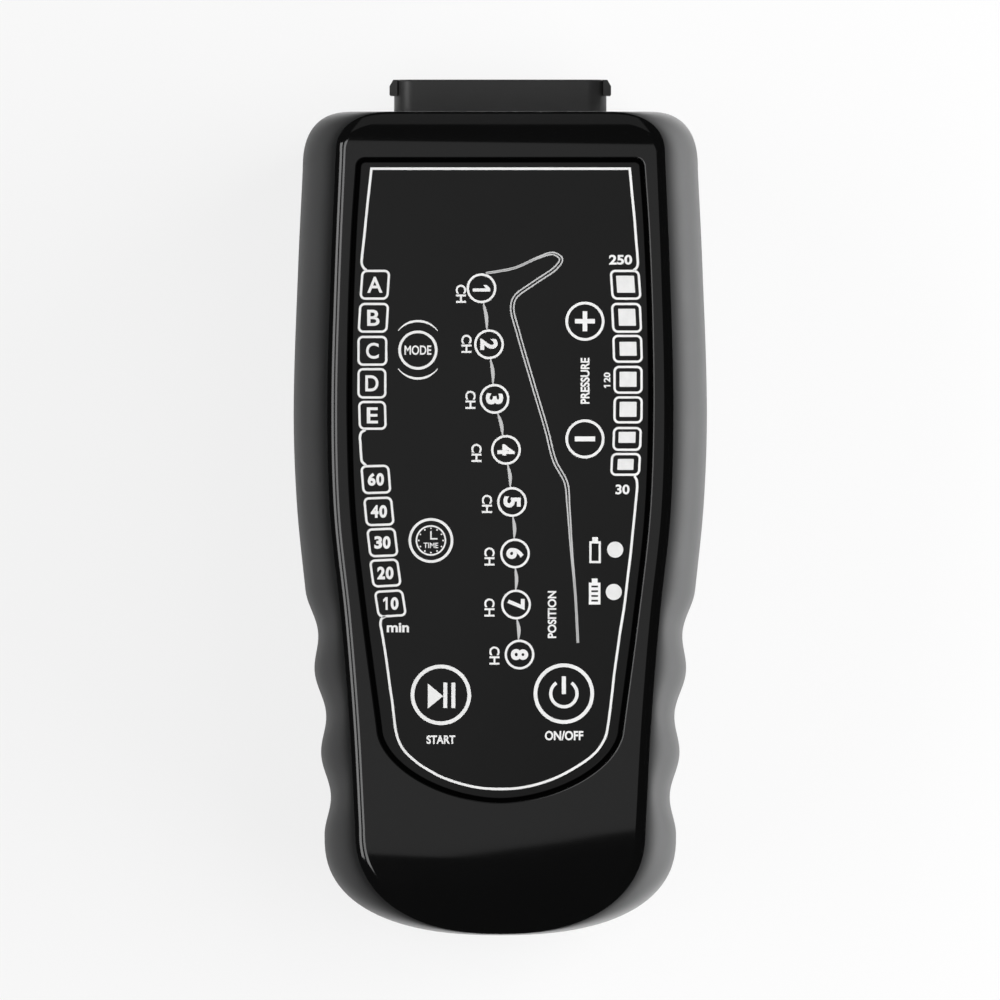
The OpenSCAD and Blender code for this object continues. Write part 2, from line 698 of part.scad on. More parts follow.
module motor_leads() for (i = [0, 1]) color(lead_colors[i]) lead(motor_lead_x[i], motor_y0, pump_z, -1);
module battery_leads() for (i = [0, 1]) color(lead_colors[i]) lead(battery_lead_x[i], cell_y1, cell_z, 1);

// ---- Hose connector ----

lug_h = connector_h - 2.2;
lug_tip = 0.2;       // how far the lug's chamfered end stands out

module latch_lug() {
  x0 = connector_w / 2 - connector_wall;
  x1 = connector_w / 2 + lug_out;
  translate([0, 0, connector_cz - lug_h / 2]) linear_extrude(lug_h)
    polygon([[x0, connector_y1 - lug_len], [x1, connector_y1 - lug_len], [x1, connector_y1 - lug_len * 0.4],
      [connector_w / 2 + lug_tip, connector_y1], [x0, connector_y1]]);
}

module hose_connector() color([0.1, 0.1, 0.105]) difference() {
  union() {
    connector_bar(0, manifold_y1, connector_y1);
    connector_bar(flange_lip, gasket_y - flange_t, gasket_y);
    latch_lug();
    mirror([1, 0, 0]) latch_lug();
  }
  connector_bar(-connector_wall, manifold_y1 - cut, connector_y1 + cut);
}

// Plate that closes the connector's inner end and holds the nipples
module nipple_plate() color([0.1, 0.1, 0.105]) difference() {
  connector_bar(-connector_wall - seat_gap, manifold_y1, socket_y);
  for (x = nipple_x) bar([x, connector_cz], manifold_y1 - cut, socket_y + cut, nipple_root_d + 2 * seat_gap);
}

// Each nipple has a thicker root that is pressed into the plate
module air_nipples() color([0.75, 0.75, 0.72]) for (x = nipple_x) difference() {
  union() {
    bar([x, connector_cz], manifold_y1, socket_y, nipple_root_d);
    bar([x, connector_cz], socket_y - cut, socket_y + nipple_len, nipple_d);
  }
  bar([x, connector_cz], manifold_y1 - cut, socket_y + nipple_len + cut, nipple_bore);
}

module connector_gasket() color([0.05, 0.05, 0.05]) difference() {
  connector_bar(flange_lip, gasket_y, gasket_y1);
  connector_bar(seat_gap, gasket_y - cut, gasket_y1 + cut);
}

// ---- Valves ----

sensor_barb_d = 2;
sensor_barb_h = 1.2;
outlet_deep = 4;

module valve_manifold() color([0.8, 0.8, 0.76]) difference() {
  union() {
    block([hose_x - 2, manifold_y0, floor_z], [connector_w / 2 - 0.8, manifold_y1, manifold_z]);
    bar([hose_x, pump_z], manifold_y0 - barb_len, manifold_y0 + cut, barb_d);
    post(sensor_at, manifold_z - cut, manifold_z + sensor_barb_h, sensor_barb_d);
  }
  for (c = coils) bar(c, manifold_y0 - cut, manifold_y0 + chamber, plunger_d + 1);
  for (x = nipple_x) bar([x, connector_cz], manifold_y1 - outlet_deep, manifold_y1 + cut, nipple_bore);
  bar([hose_x, pump_z], manifold_y0 - barb_len - cut, manifold_y0 + manifold_len / 2, barb_bore);
}

module valve_coils() color([0.35, 0.2, 0.1]) for (c = coils) difference() {
  bar(c, coil_y0, manifold_y0, coil_d);
  bar(c, coil_y0 + coil_end, manifold_y0 + cut, plunger_d + 2 * run_gap);
}

plunger_y0 = coil_y0 + coil_end + plunger_travel + clear_gap;
plunger_y1 = manifold_y0 + chamber - clear_gap;

module valve_plunger(i) color([0.7, 0.7, 0.72]) bar(coils[i], plunger_y0, plunger_y1, plunger_d);

module valve_plunger_1() valve_plunger(0);
module valve_plunger_2() valve_plunger(1);
module valve_plunger_3() valve_plunger(2);
module valve_plunger_4() valve_plunger(3);
module valve_plunger_5() valve_plunger(4);
module valve_plunger_6() valve_plunger(5);
module valve_plunger_7() valve_plunger(6);
module valve_plunger_8() valve_plunger(7);

module sensor_hose() color([0.8, 0.82, 0.82]) difference() {
  post(sensor_at, manifold_z, board_z - sensor_h, sensor_barb_d + 2);
  post(sensor_at, manifold_z - cut, board_z, sensor_barb_d + 2 * seat_gap);
}

// ---- Pump ----

can_wall = 1;
end_plate = 1.5;
can_bore = motor_d - 2 * can_wall;
magnet_t = 2.2;
magnet_end = 5;      // from each end of the motor to the magnet
core_d = can_bore - 2 * magnet_t - 1;
core_end = 7;
crank_d = 8;
pin_d = 2;
rocker_y = motor_y1 + 8;
rocker_t = 2;
cup_r = 6.2;         // distance of each pumping cup from the axis
cup_d = 6.6;
cup_h = 3;
cups = [for (a = [90, 210, 330]) [pump_x + cup_r * cos(a), pump_z + cup_r * sin(a)]];
pump_axis = [pump_x, pump_z];

module motor_can() color([0.75, 0.76, 0.78]) difference() {
  bar(pump_axis, motor_y0, motor_y1, motor_d, fine);
  bar(pump_axis, motor_y0 + end_plate, motor_y1 - end_plate, can_bore, fine);
  bar(pump_axis, motor_y0 - cut, motor_y1 + cut, shaft_d + 2 * run_gap);
}

module motor_magnet() color([0.2, 0.2, 0.22]) difference() {
  bar(pump_axis, motor_y0 + magnet_end, motor_y1 - magnet_end, can_bore, fine);
  bar(pump_axis, motor_y0, motor_y1, can_bore - 2 * magnet_t, fine);
}

module motor_rotor() color([0.65, 0.5, 0.35]) {
  bar(pump_axis, motor_y0 - 0.5, motor_y1 + 4, shaft_d);
  bar(pump_axis, motor_y0 + core_end, motor_y1 - core_end, core_d, fine);
  bar(pump_axis, motor_y1 + 1.5, motor_y1 + 6, crank_d);
  bar(pump_axis + [0, crank_offset], motor_y1 + 5, rocker_y + rocker_t - 0.4, pin_d);
}

module pump_head() color([0.12, 0.12, 0.13]) difference() {
  bar(pump_axis, motor_y1, head_y1, head_d, fine);
  bar(pump_axis, motor_y1 + 1.2, head_y1 + cut, head_d - 2 * head_wall, fine);
  bar(pump_axis, motor_y1 - cut, motor_y1 + 2, shaft_d + 1);
}

module pump_rocker() color([0.85, 0.85, 0.8]) difference() {
  union() {
    bar(pump_axis, rocker_y, rocker_y + rocker_t, head_d - 2 * head_wall - 2, fine);
    for (c = cups) bar(c, rocker_y + rocker_t / 2, head_y1 - cup_h, 3);
  }
  bar(pump_axis, rocker_y - cut, rocker_y + rocker_t + cut, 2 * (crank_offset + clear_gap) + pin_d);
}

module pump_diaphragm() color([0.1, 0.1, 0.1]) {
  bar(pump_axis, head_y1, cap_y0, head_d - 2, fine);
  for (c = cups) bar(c, head_y1 - cup_h, head_y1 + diaphragm_t / 2, cup_d);
}

module pump_cap() color([0.12, 0.12, 0.13]) difference() {
  union() {
    bar(pump_axis, cap_y0, cap_y1, head_d, fine);
    bar([hose_x, pump_z], cap_y1 - cut, cap_y1 + barb_len, barb_d);
  }
  bar([hose_x, pump_z], cap_y0 + 1, cap_y1 + barb_len + cut, barb_bore);
}

module air_hose() color([0.8, 0.82, 0.82]) difference() {
  bar([hose_x, pump_z], cap_y1, manifold_y0, hose_d);
  bar([hose_x, pump_z], cap_y1 - cut, manifold_y0 + cut, barb_d + 2 * seat_gap);
}

saddle_w = 30;
saddle_len = 5;
saddle_z = pump_z - 6;
saddle_ys = [motor_y0 + 3, motor_y1 - 3 - saddle_len];
band_t = 0.8;
band_bore = motor_d + 2 * seat_gap;
band_w = band_bore + 2 * band_t;

module pump_saddles() color([0.1, 0.1, 0.1]) for (y = saddle_ys) difference() {
  pad([pump_x, y + saddle_len / 2], saddle_w, saddle_len, floor_z, saddle_z);
  bar(pump_axis, y - cut, y + saddle_len + cut, band_bore, fine);
}

// Each band goes over the motor and stands on its saddle
module band(y) {
  at = [pump_x, y + saddle_len / 2];
  difference() {
    union() {
      bar(pump_axis, y, y + saddle_len, band_w, fine);
      pad(at, band_w, saddle_len, saddle_z, pump_z);
    }
    bar(pump_axis, y - cut, y + saddle_len + cut, band_bore, fine);
    pad(at, band_bore, saddle_len + 2 * cut, floor_z, pump_z);
    pad(at, 2 * motor_d, saddle_len + 2 * cut, 0, saddle_z);
  }
}

module pump_band() color([0.7, 0.7, 0.72]) for (y = saddle_ys) band(y);

// ---- Battery, charging and intake ----

tray_w = 4 * cell_x + 2 * tray_wall;
tray_short = 4;      // the cells stand out of the tray at their leads
filter_edge = 2;
filter_h = 6;
filter_len = grille_slots * grille_pitch + filter_edge;

module battery_cells() color([0.1, 0.25, 0.5])
  for (x = [-cell_x, cell_x]) bar([x, cell_z], cell_y0, cell_y1, cell_d, fine);

module battery_tray() color([0.15, 0.15, 0.16]) difference() {
  block([-tray_w / 2, cell_y0 - tray_wall, floor_z], [tray_w / 2, cell_y1 - tray_short, cell_z - tray_wall]);
  for (x = [-cell_x, cell_x])
    bar([x, cell_z], cell_y0 - seat_gap, cell_y1 + cut, cell_d + 2 * seat_gap, fine);
}

module charging_jack() color([0.06, 0.06, 0.06]) difference() {
  union() {
    block([-jack_w / 2, jack_y, jack_cz - jack_h / 2], [jack_w / 2, jack_y + jack_len, jack_cz + jack_h / 2]);
    bar([0, jack_cz], y_low + jack_in, jack_y + cut, jack_nose_d);
  }
  bar([0, jack_cz], y_low + jack_in - cut, y_low + jack_in + jack_depth, jack_bore);
}

module intake_filter() color([0.25, 0.25, 0.27])
  pad(grille_at, slot_len + 2 * filter_edge, filter_len, floor_z, floor_z + filter_h);

// ---- Screws and feet ----

case_head_h = 2;
slot_size = [3, 0.7];

module case_screws() color([0.6, 0.6, 0.62]) for (p = case_screws_at) difference() {
  union() {
    post(p, screw_seat_z - case_head_h, screw_seat_z, case_head_d);
    post(p, screw_seat_z - cut, under_z - cut, case_screw_d);
  }
  pad(p, slot_size[0], slot_size[1], screw_seat_z - case_head_h - cut, screw_seat_z - case_head_h + cut);
  pad(p, slot_size[1], slot_size[0], screw_seat_z - case_head_h - cut, screw_seat_z - case_head_h + cut);
}

module rubber_feet() color([0.12, 0.12, 0.12]) for (p = feet_at) post(p, 0, back_z + foot_sunk, foot_d);

rear_shell();
front_cover();
keypad_overlay();
key_mode();
key_time();
key_pressure_up();
key_pressure_down();
key_start();
key_power();
mode_light_pipes();
time_light_pipes();
pressure_light_pipes();
channel_light_pipes();
battery_light_pipes();
main_board();
indicator_lamps();
key_switches();
board_components();
buzzer();
board_plugs();
pressure_sensor();
board_screws();
hose_connector();
nipple_plate();
air_nipples();
connector_gasket();
valve_manifold();
valve_coils();
valve_plunger_1();
valve_plunger_2();
valve_plunger_3();
valve_plunger_4();
valve_plunger_5();
valve_plunger_6();
valve_plunger_7();
valve_plunger_8();
pump_head();
pump_rocker();
pump_diaphragm();
pump_cap();
motor_can();
motor_magnet();
motor_rotor();
pump_saddles();
pump_band();
air_hose();
sensor_hose();
motor_leads();
battery_cells();
battery_tray();
battery_leads();
charging_jack();
intake_filter();
case_screws();
rubber_feet();
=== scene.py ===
import json
import math

import bmesh
import bpy
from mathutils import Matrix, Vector

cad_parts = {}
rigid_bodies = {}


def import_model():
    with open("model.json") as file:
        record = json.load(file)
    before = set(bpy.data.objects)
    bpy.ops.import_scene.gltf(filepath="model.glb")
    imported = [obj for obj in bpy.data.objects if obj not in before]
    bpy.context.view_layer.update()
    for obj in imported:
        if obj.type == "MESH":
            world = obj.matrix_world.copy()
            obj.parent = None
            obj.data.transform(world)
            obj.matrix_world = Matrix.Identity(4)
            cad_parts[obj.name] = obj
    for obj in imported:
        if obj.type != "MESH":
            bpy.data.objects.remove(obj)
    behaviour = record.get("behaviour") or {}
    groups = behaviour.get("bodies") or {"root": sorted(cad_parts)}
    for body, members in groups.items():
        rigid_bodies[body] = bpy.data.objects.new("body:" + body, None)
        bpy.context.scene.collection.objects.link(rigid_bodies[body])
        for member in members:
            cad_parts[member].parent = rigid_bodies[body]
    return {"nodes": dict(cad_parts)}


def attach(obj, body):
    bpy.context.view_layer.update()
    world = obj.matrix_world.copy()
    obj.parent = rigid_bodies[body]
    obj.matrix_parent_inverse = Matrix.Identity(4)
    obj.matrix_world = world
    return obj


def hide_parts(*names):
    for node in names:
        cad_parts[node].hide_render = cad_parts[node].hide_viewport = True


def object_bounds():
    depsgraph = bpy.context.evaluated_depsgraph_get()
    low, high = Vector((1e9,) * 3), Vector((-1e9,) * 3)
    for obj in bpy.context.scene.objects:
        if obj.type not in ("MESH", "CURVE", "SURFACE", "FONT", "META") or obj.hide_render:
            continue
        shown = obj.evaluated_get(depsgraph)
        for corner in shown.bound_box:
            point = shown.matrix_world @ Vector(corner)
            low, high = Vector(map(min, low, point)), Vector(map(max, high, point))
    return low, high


# Compression therapy pump. Sizes in the dictionaries are millimetres, as in the part's source,
# and only those of the floor, the lamps and the camera are metres.

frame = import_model()
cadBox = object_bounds()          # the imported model's box, before any piece is added
mm = 0.001
print("frame loaded:", len(frame["nodes"]), "nodes")


# Shader maths: a node's output that can be added, multiplied and so on

class Value:
    def __init__(self, finish, socket):
        self.finish = finish
        self.socket = socket

    def maths(self, operation, first, second):
        return self.finish.add("ShaderNodeMath", {"operation": operation}, {0: first, 1: second})

    def __add__(self, other):
        return self.maths("ADD", self, other)

    def __radd__(self, other):
        return self.maths("ADD", other, self)

    def __sub__(self, other):
        return self.maths("SUBTRACT", self, other)

    def __rsub__(self, other):
        return self.maths("SUBTRACT", other, self)

    def __mul__(self, other):
        return self.maths("MULTIPLY", self, other)

    def __rmul__(self, other):
        return self.maths("MULTIPLY", other, self)

    def __gt__(self, other):
        return self.maths("GREATER_THAN", self, other)


class Finish:
    def __init__(self, name, constants):      # constants go on the shader's own sockets
        self.material = bpy.data.materials.new(name)
        self.material.use_nodes = True
        self.tree = self.material.node_tree
        self.shader = self.tree.nodes["Principled BSDF"]
        for socket, value in constants.items():
            self.shader.inputs[socket].default_value = value
        self.place = self.add("ShaderNodeTexCoord", out="Object")

    def add(self, kind, settings=None, values=None, out=0):
        node = self.tree.nodes.new(kind)
        for setting, value in (settings or {}).items():
            setattr(node, setting, value)
        for socket, value in (values or {}).items():
            self.join(node.inputs[socket], value)
        return Value(self, node.outputs[out])

    def join(self, socket, value):
        if isinstance(value, Value):
            self.tree.links.new(value.socket, socket)
        else:
            socket.default_value = value

    def feed(self, socket, value):
        self.join(self.shader.inputs[socket], value)

    def noise(self, size, detail=2.0, stretch=(1, 1, 1)):     # size of its features in millimetres
        place = self.add("ShaderNodeMapping", values={"Vector": self.place, "Scale": stretch})
        return self.add("ShaderNodeTexNoise",
                        values={"Vector": place, "Scale": 1 / (size * mm), "Detail": detail})

    def cells(self, size):
        return self.add("ShaderNodeTexVoronoi", values={"Vector": self.place, "Scale": 1 / (size * mm)})

    def between(self, share, first, second):
        return self.add("ShaderNodeMix", {"data_type": "RGBA"}, {0: share, 6: first, 7: second}, 2)

    def bump(self, height, depth):            # depth in millimetres
        return self.add("ShaderNodeBump", values={"Height": height, "Distance": depth * mm, "Strength": 1.0})


def grey(level, warmth=0.0):
    return (level * (1 + warmth), level, level * (1 - warmth), 1)


def shaded(colour, factor):
    return tuple(c * factor for c in colour[:3]) + (1,)


# Moulded plastics and rubbers: a fine grain, soft cloudiness and slightly uneven gloss.
# "cloud" and "grain" are the sizes of those features, and "depth" is the depth of the grain.
commonMoulding = {"gloss": 0.4, "uneven": 0.05, "cloud": 5, "grain": 0.3, "depth": 0.004, "ior": 1.5,
                  "sheen": 0}
mouldings = {
    "gripShell": {"colour": grey(0.011, -0.02), "gloss": 0.68, "cloud": 14, "grain": 0.32, "depth": 0.006,
                  "ior": 1.36, "sheen": 0.2},
    "glossCover": {"colour": grey(0.0022, -0.03), "gloss": 0.075, "uneven": 0.015, "cloud": 22, "grain": 1.6,
                   "depth": 0.0004},
    "overlayFilm": {"colour": grey(0.0052, -0.03), "gloss": 0.3, "uneven": 0.03, "cloud": 30, "grain": 0.22,
                    "depth": 0.0015, "ior": 1.48},
    "connectorPlastic": {"colour": grey(0.056), "gloss": 0.42, "cloud": 9, "grain": 0.28, "depth": 0.006},
    "blackMoulding": {"colour": grey(0.02), "gloss": 0.48, "uneven": 0.06, "cloud": 6, "grain": 0.25,
                      "depth": 0.006},
    "ivoryMoulding": {"colour": (0.62, 0.58, 0.47, 1), "gloss": 0.42, "cloud": 7},
    "nipplePlastic": {"colour": (0.36, 0.36, 0.35, 1), "gloss": 0.34, "cloud": 3, "grain": 0.2,
                      "depth": 0.003},
    "softRubber": {"colour": grey(0.016), "gloss": 0.72, "uneven": 0.08, "cloud": 4, "grain": 0.35,
                   "depth": 0.02},
    "mattBlack": {"colour": grey(0.0025), "gloss": 0.85, "uneven": 0.08, "cloud": 4, "depth": 0.02,
                  "ior": 1.3},
    "siliconeTube": {"colour": (0.6, 0.64, 0.65, 1), "gloss": 0.3, "cloud": 3, "grain": 0.4, "depth": 0.003,
                     "ior": 1.42},
    "clearPipe": {"colour": (0.72, 0.75, 0.78, 1), "gloss": 0.15, "uneven": 0.04, "cloud": 3, "depth": 0.002,
                  "ior": 1.49},
    "lampEpoxy": {"colour": (0.8, 0.78, 0.6, 1), "gloss": 0.2, "uneven": 0.04, "cloud": 2, "depth": 0.002},
    "redLead": {"colour": (0.3, 0.014, 0.012, 1), "uneven": 0.06, "cloud": 3},
    "cellSleeve": {"colour": (0.02, 0.07, 0.26, 1), "gloss": 0.28, "uneven": 0.06, "cloud": 9, "grain": 0.8},
    "whiteInk": {"colour": (0.8, 0.8, 0.795, 1), "gloss": 0.5, "grain": 0.12, "depth": 0.002, "ior": 1.45},
    "greyInk": {"colour": grey(0.5), "gloss": 0.5, "grain": 0.12, "depth": 0.002, "ior": 1.45},
    "milkyWindow": {"colour": (0.745, 0.745, 0.74, 1), "gloss": 0.3, "uneven": 0.04, "cloud": 2,
                    "depth": 0.001, "ior": 1.48},
}


def moulding(name):
    look = {**commonMoulding, **mouldings[name]}
    finish = Finish(name, {"IOR": look["ior"], "Sheen Weight": look["sheen"], "Sheen Roughness": 0.45})
    cloud = finish.noise(look["cloud"], 3)
    grain = finish.noise(look["grain"], 1)
    speck = finish.cells(look["grain"] * 3)
    dark, light = shaded(look["colour"], 0.88), shaded(look["colour"], 1.12)
    finish.feed("Base Color", finish.between(cloud, dark, light))
    uneven = (cloud - 0.5) * (2 * look["uneven"]) + (grain - 0.5) * look["uneven"]
    finish.feed("Roughness", look["gloss"] + uneven)
    finish.feed("Normal", finish.bump(grain + speck * 0.3, look["depth"]))
    return finish.material


# Metals: fine drawn or turned lines, a little tarnish
metals = {
    "zincSteel": {"colour": (0.62, 0.62, 0.63, 1), "gloss": 0.3, "line": 0.12, "stretch": (1, 0.05, 1)},
    "sinteredMagnet": {"colour": (0.12, 0.12, 0.13, 1), "gloss": 0.55, "line": 0.3, "stretch": (1, 1, 1)},
    "contactBrass": {"colour": (0.72, 0.55, 0.26, 1), "gloss": 0.25, "line": 0.1, "stretch": (1, 0.1, 1)},
}


def metal(name):
    look = metals[name]
    finish = Finish(name, {"Metallic": 1.0})
    line = finish.noise(look["line"], 2, look["stretch"])
    tarnish = finish.noise(5, 4)
    finish.feed("Base Color", finish.between(tarnish, shaded(look["colour"], 0.75), look["colour"]))
    finish.feed("Roughness", look["gloss"] + (line - 0.5) * 0.2 + (tarnish - 0.5) * 0.15)
    finish.feed("Normal", finish.bump(line, 0.003))
    return finish.material


def solderMask():
    look = {"mask": (0.012, 0.11, 0.045, 1), "copper": (0.02, 0.2, 0.08, 1), "track": 3.2}
    finish = Finish("solderMask", {"IOR": 1.5})
    tracks = finish.add("ShaderNodeTexWave", {"bands_direction": "DIAGONAL"}, {
        "Vector": finish.place, "Scale": 1 / (look["track"] * mm), "Distortion": 3.0, "Detail": 0.0})
    on = tracks > 0.62
    finish.feed("Base Color", finish.between(on, look["mask"], look["copper"]))
    finish.feed("Roughness", 0.32 + finish.noise(2) * 0.1)
    finish.feed("Normal", finish.bump(on, 0.03))
    return finish.material


def woundCopper():
    look = {"light": (0.62, 0.27, 0.11, 1), "dark": (0.2, 0.07, 0.03, 1), "wire": 0.35}
    finish = Finish("woundCopper", {"IOR": 1.5, "Metallic": 0.6})
    # the turns are painted light along each wire and dark between the wires: painted highlight and shade of
    # the round wire
    turns = finish.add("ShaderNodeTexWave", {"bands_direction": "Y"},
                       {"Vector": finish.place, "Scale": 0.1 / (look["wire"] * mm), "Distortion": 0.4})
    finish.feed("Base Color", finish.between(turns, look["dark"], look["light"]))
    finish.feed("Roughness", 0.45 - turns * 0.12)
    finish.feed("Normal", finish.bump(turns, 0.08))
    return finish.material


def openFoam():
    look = {"strut": (0.05, 0.05, 0.055, 1), "pore": (0.006, 0.006, 0.007, 1), "pore size": 0.7}
    finish = Finish("openFoam", {"Roughness": 0.95})
    pores = finish.cells(look["pore size"])
    # the pores are painted darker than the struts: painted shade inside the pores
    finish.feed("Base Color", finish.between(pores * 1.4, look["pore"], look["strut"]))
    finish.feed("Normal", finish.bump(1 - pores, 0.3))
    return finish.material


finishes = {name: moulding(name) for name in mouldings}
finishes.update({name: metal(name) for name in metals})
finishes.update({"solderMask": solderMask(), "woundCopper": woundCopper(), "openFoam": openFoam()})
print("finishes made:", len(finishes))


# Meshes: closed forms in millimetres, gathered and made into one piece

def alongCircle(steps):
    return [math.radians(360 * i / steps) for i in range(steps)]


def circle(centre, diameter, steps):
    r = diameter / 2
    return [(centre[0] + r * math.cos(a), centre[1] + r * math.sin(a)) for a in alongCircle(steps)]


def rounding(radius, steps=5):                # (inwards, down) along a rounded edge, from the wall to the top
    turns = [math.radians(90 * i / steps) for i in range(steps + 1)]
    return [(radius * (1 - math.cos(a)), radius * (1 - math.sin(a))) for a in turns]


class Shape:
    def __init__(self):
        self.points = []
        self.faces = []

    def add(self, points, faces):
        first = len(self.points)
        self.points += points
        self.faces += [[first + i for i in face] for face in faces]
        return self

    def sides(self, rings, closed):           # walls through rings of equal length
        n = len(rings[0])
        count = len(rings) if closed else len(rings) - 1
        walls = []
        for k in range(count):
            low, high = k * n, (k + 1) % len(rings) * n
            walls += [[low + i, low + (i + 1) % n, high + (i + 1) % n, high + i] for i in range(n)]
        return [p for ring in rings for p in ring], walls

    def stack(self, rings):                   # closed body, its two ends flat
        points, faces = self.sides(rings, False)
        n = len(rings[0])
        last = len(points) - n
        return self.add(points, faces + [list(range(n))] + [[last + i for i in range(n)]])

    def loft(self, rings):                    # the same, its ends in strips across, as they may roll
        points, faces = self.sides(rings, False)
        n = len(rings[0])
        m = (n + 1) // 2
        for base in (0, len(points) - n):
            faces += [[base + i, base + i + 1, base + n - 2 - i, base + n - 1 - i] for i in range(m - 2)]
            faces.append([base + m - 2, base + m - 1, base + m])
        return self.add(points, faces)

    def plate(self, outline, low, high):
        return self.stack([[(x, y, low) for x, y in outline], [(x, y, high) for x, y in outline]])

    def tunnel(self, outline, near, far):     # outline of (x, z), drawn out along y
        return self.stack([[(x, y, z) for x, z in outline] for y in (near, far)])

    def turned(self, profile, centre, axis="z", steps=64):    # closed profile of (radius, height)
        rings = []
        for a in alongCircle(steps):
            u, v = math.cos(a), math.sin(a)
            if axis == "z":
                rings.append([(centre[0] + r * u, centre[1] + r * v, centre[2] + h) for r, h in profile])
            else:
                rings.append([(centre[0] + r * u, centre[1] + h, centre[2] + r * v) for r, h in profile])
        points, faces = self.sides(rings, True)
        return self.add(points, faces)

    def ribbon(self, path, width, low, high, closed=False):   # flat line; width may be a list along it
        n = len(path)
        widths = width if isinstance(width, list) else [width] * n
        rings = []
        for i, (x, y) in enumerate(path):
            a = path[i - 1] if closed or i > 0 else path[i]
            b = path[(i + 1) % n] if closed or i < n - 1 else path[i]
            into = Vector((x - a[0], y - a[1])).normalized()
            away = Vector((b[0] - x, b[1] - y)).normalized()
            bend = (into + away).normalized()
            mitre = max(bend.dot(into if into.length else away), 0.5)
            across = Vector((-bend.y, bend.x)) * (widths[i] / 2 / mitre)
            rings.append([(x - across.x, y - across.y, low), (x + across.x, y + across.y, low),
                          (x + across.x, y + across.y, high), (x - across.x, y - across.y, high)])
        points, faces = self.sides(rings, closed)
        if not closed:
            faces += [[0, 1, 2, 3], [4 * n - 4, 4 * n - 3, 4 * n - 2, 4 * n - 1]]
        return self.add(points, faces)

    def block(self, low, high):
        outline = [(low[0], low[1]), (high[0], low[1]), (high[0], high[1]), (low[0], high[1])]
        return self.plate(outline, low[2], high[2])

    def post(self, at, diameter, low, high, steps=48):
        return self.plate(circle(at, diameter, steps), low, high)

    def mesh(self, name):
        mesh = bpy.data.meshes.new(name)
        mesh.from_pydata([(x * mm, y * mm, z * mm) for x, y, z in self.points], [], self.faces)
        work = bmesh.new()
        work.from_mesh(mesh)
        bmesh.ops.remove_doubles(work, verts=work.verts, dist=1e-7)
        bmesh.ops.recalc_face_normals(work, faces=work.faces)
        work.to_mesh(mesh)
        work.free()
        return mesh


def newObject(name, data):
    piece = bpy.data.objects.new(name, data)
    bpy.context.scene.collection.objects.link(piece)
    return piece


def finalMesh(piece):                         # what the piece looks like with its modifiers, as a mesh
    bpy.context.view_layer.update()
    return bpy.data.meshes.new_from_object(piece.evaluated_get(bpy.context.evaluated_depsgraph_get()))


def carve(piece, shape, operation="DIFFERENCE"):
    tool = newObject("tool", shape.mesh("tool"))
    cut = piece.modifiers.new("carve", "BOOLEAN")
    cut.operation = operation
    cut.solver = "EXACT"
    cut.object = tool
    mesh = finalMesh(piece)
    piece.modifiers.clear()
    piece.data = mesh
    bpy.data.objects.remove(tool)


def dress(piece, finish, slot, body="casing", stands=(), sharp=32, weighted=True):
    mesh = piece.data
    mesh.materials.clear()
    mesh.materials.append(finishes[finish])
    mesh.polygons.foreach_set("material_index", [0] * len(mesh.polygons))
    mesh.polygons.foreach_set("use_smooth", [True] * len(mesh.polygons))
    mesh.set_sharp_from_angle(angle=math.radians(sharp))
    if weighted:
        even = piece.modifiers.new("evenShading", "WEIGHTED_NORMAL")
        even.keep_sharp = True
    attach(piece, body)
    if stands:
        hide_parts(*stands)


def make(name, shape, finish, slot, **how):
    dress(newObject(name, shape.mesh(name)), finish, slot, **how)


# Outlines of the casing, the cover and the overlay, as in the part's source

def mix(a, b, share):
    return a + (b - a) * share


def smoothCurve(stations, s):
    i = 0
    while i < len(stations) - 2 and s > stations[i + 1][0]:
        i += 1

    def slope(k):
        a, b = stations[max(k - 1, 0)], stations[min(k + 1, len(stations) - 1)]
        return (b[1] - a[1]) / (b[0] - a[0])

    h = stations[i + 1][0] - stations[i][0]
    t = (s - stations[i][0]) / h
    return ((2 * t**3 - 3 * t**2 + 1) * stations[i][1] + (t**3 - 2 * t**2 + t) * h * slope(i)
            + (3 * t**2 - 2 * t**3) * stations[i + 1][1] + (t**3 - t**2) * h * slope(i + 1))


def quarter(centre, size, power, start, stop, steps):
    places = []
    for i in range(steps + 1):
        a = math.radians(mix(start, stop, i / steps))
        places.append((centre[0] + size[0] * abs(math.cos(a)) ** (2 / power),
                       centre[1] + math.copysign(size[1] * abs(math.sin(a)) ** (2 / power), math.sin(a))))
    return places


def mirrored(half):
    return half + [(-x, y) for x, y in reversed(half[:-1])]


def grown(outline, distance):                 # moved outwards along its normals
    n = len(outline)
    result = []
    for i, (x, y) in enumerate(outline):
        a, b = outline[i - 1], outline[(i + 1) % n]
        out = Vector((a[1] - b[1], b[0] - a[0])).normalized() * distance
        result.append((x + out.x, y + out.y))
    return result


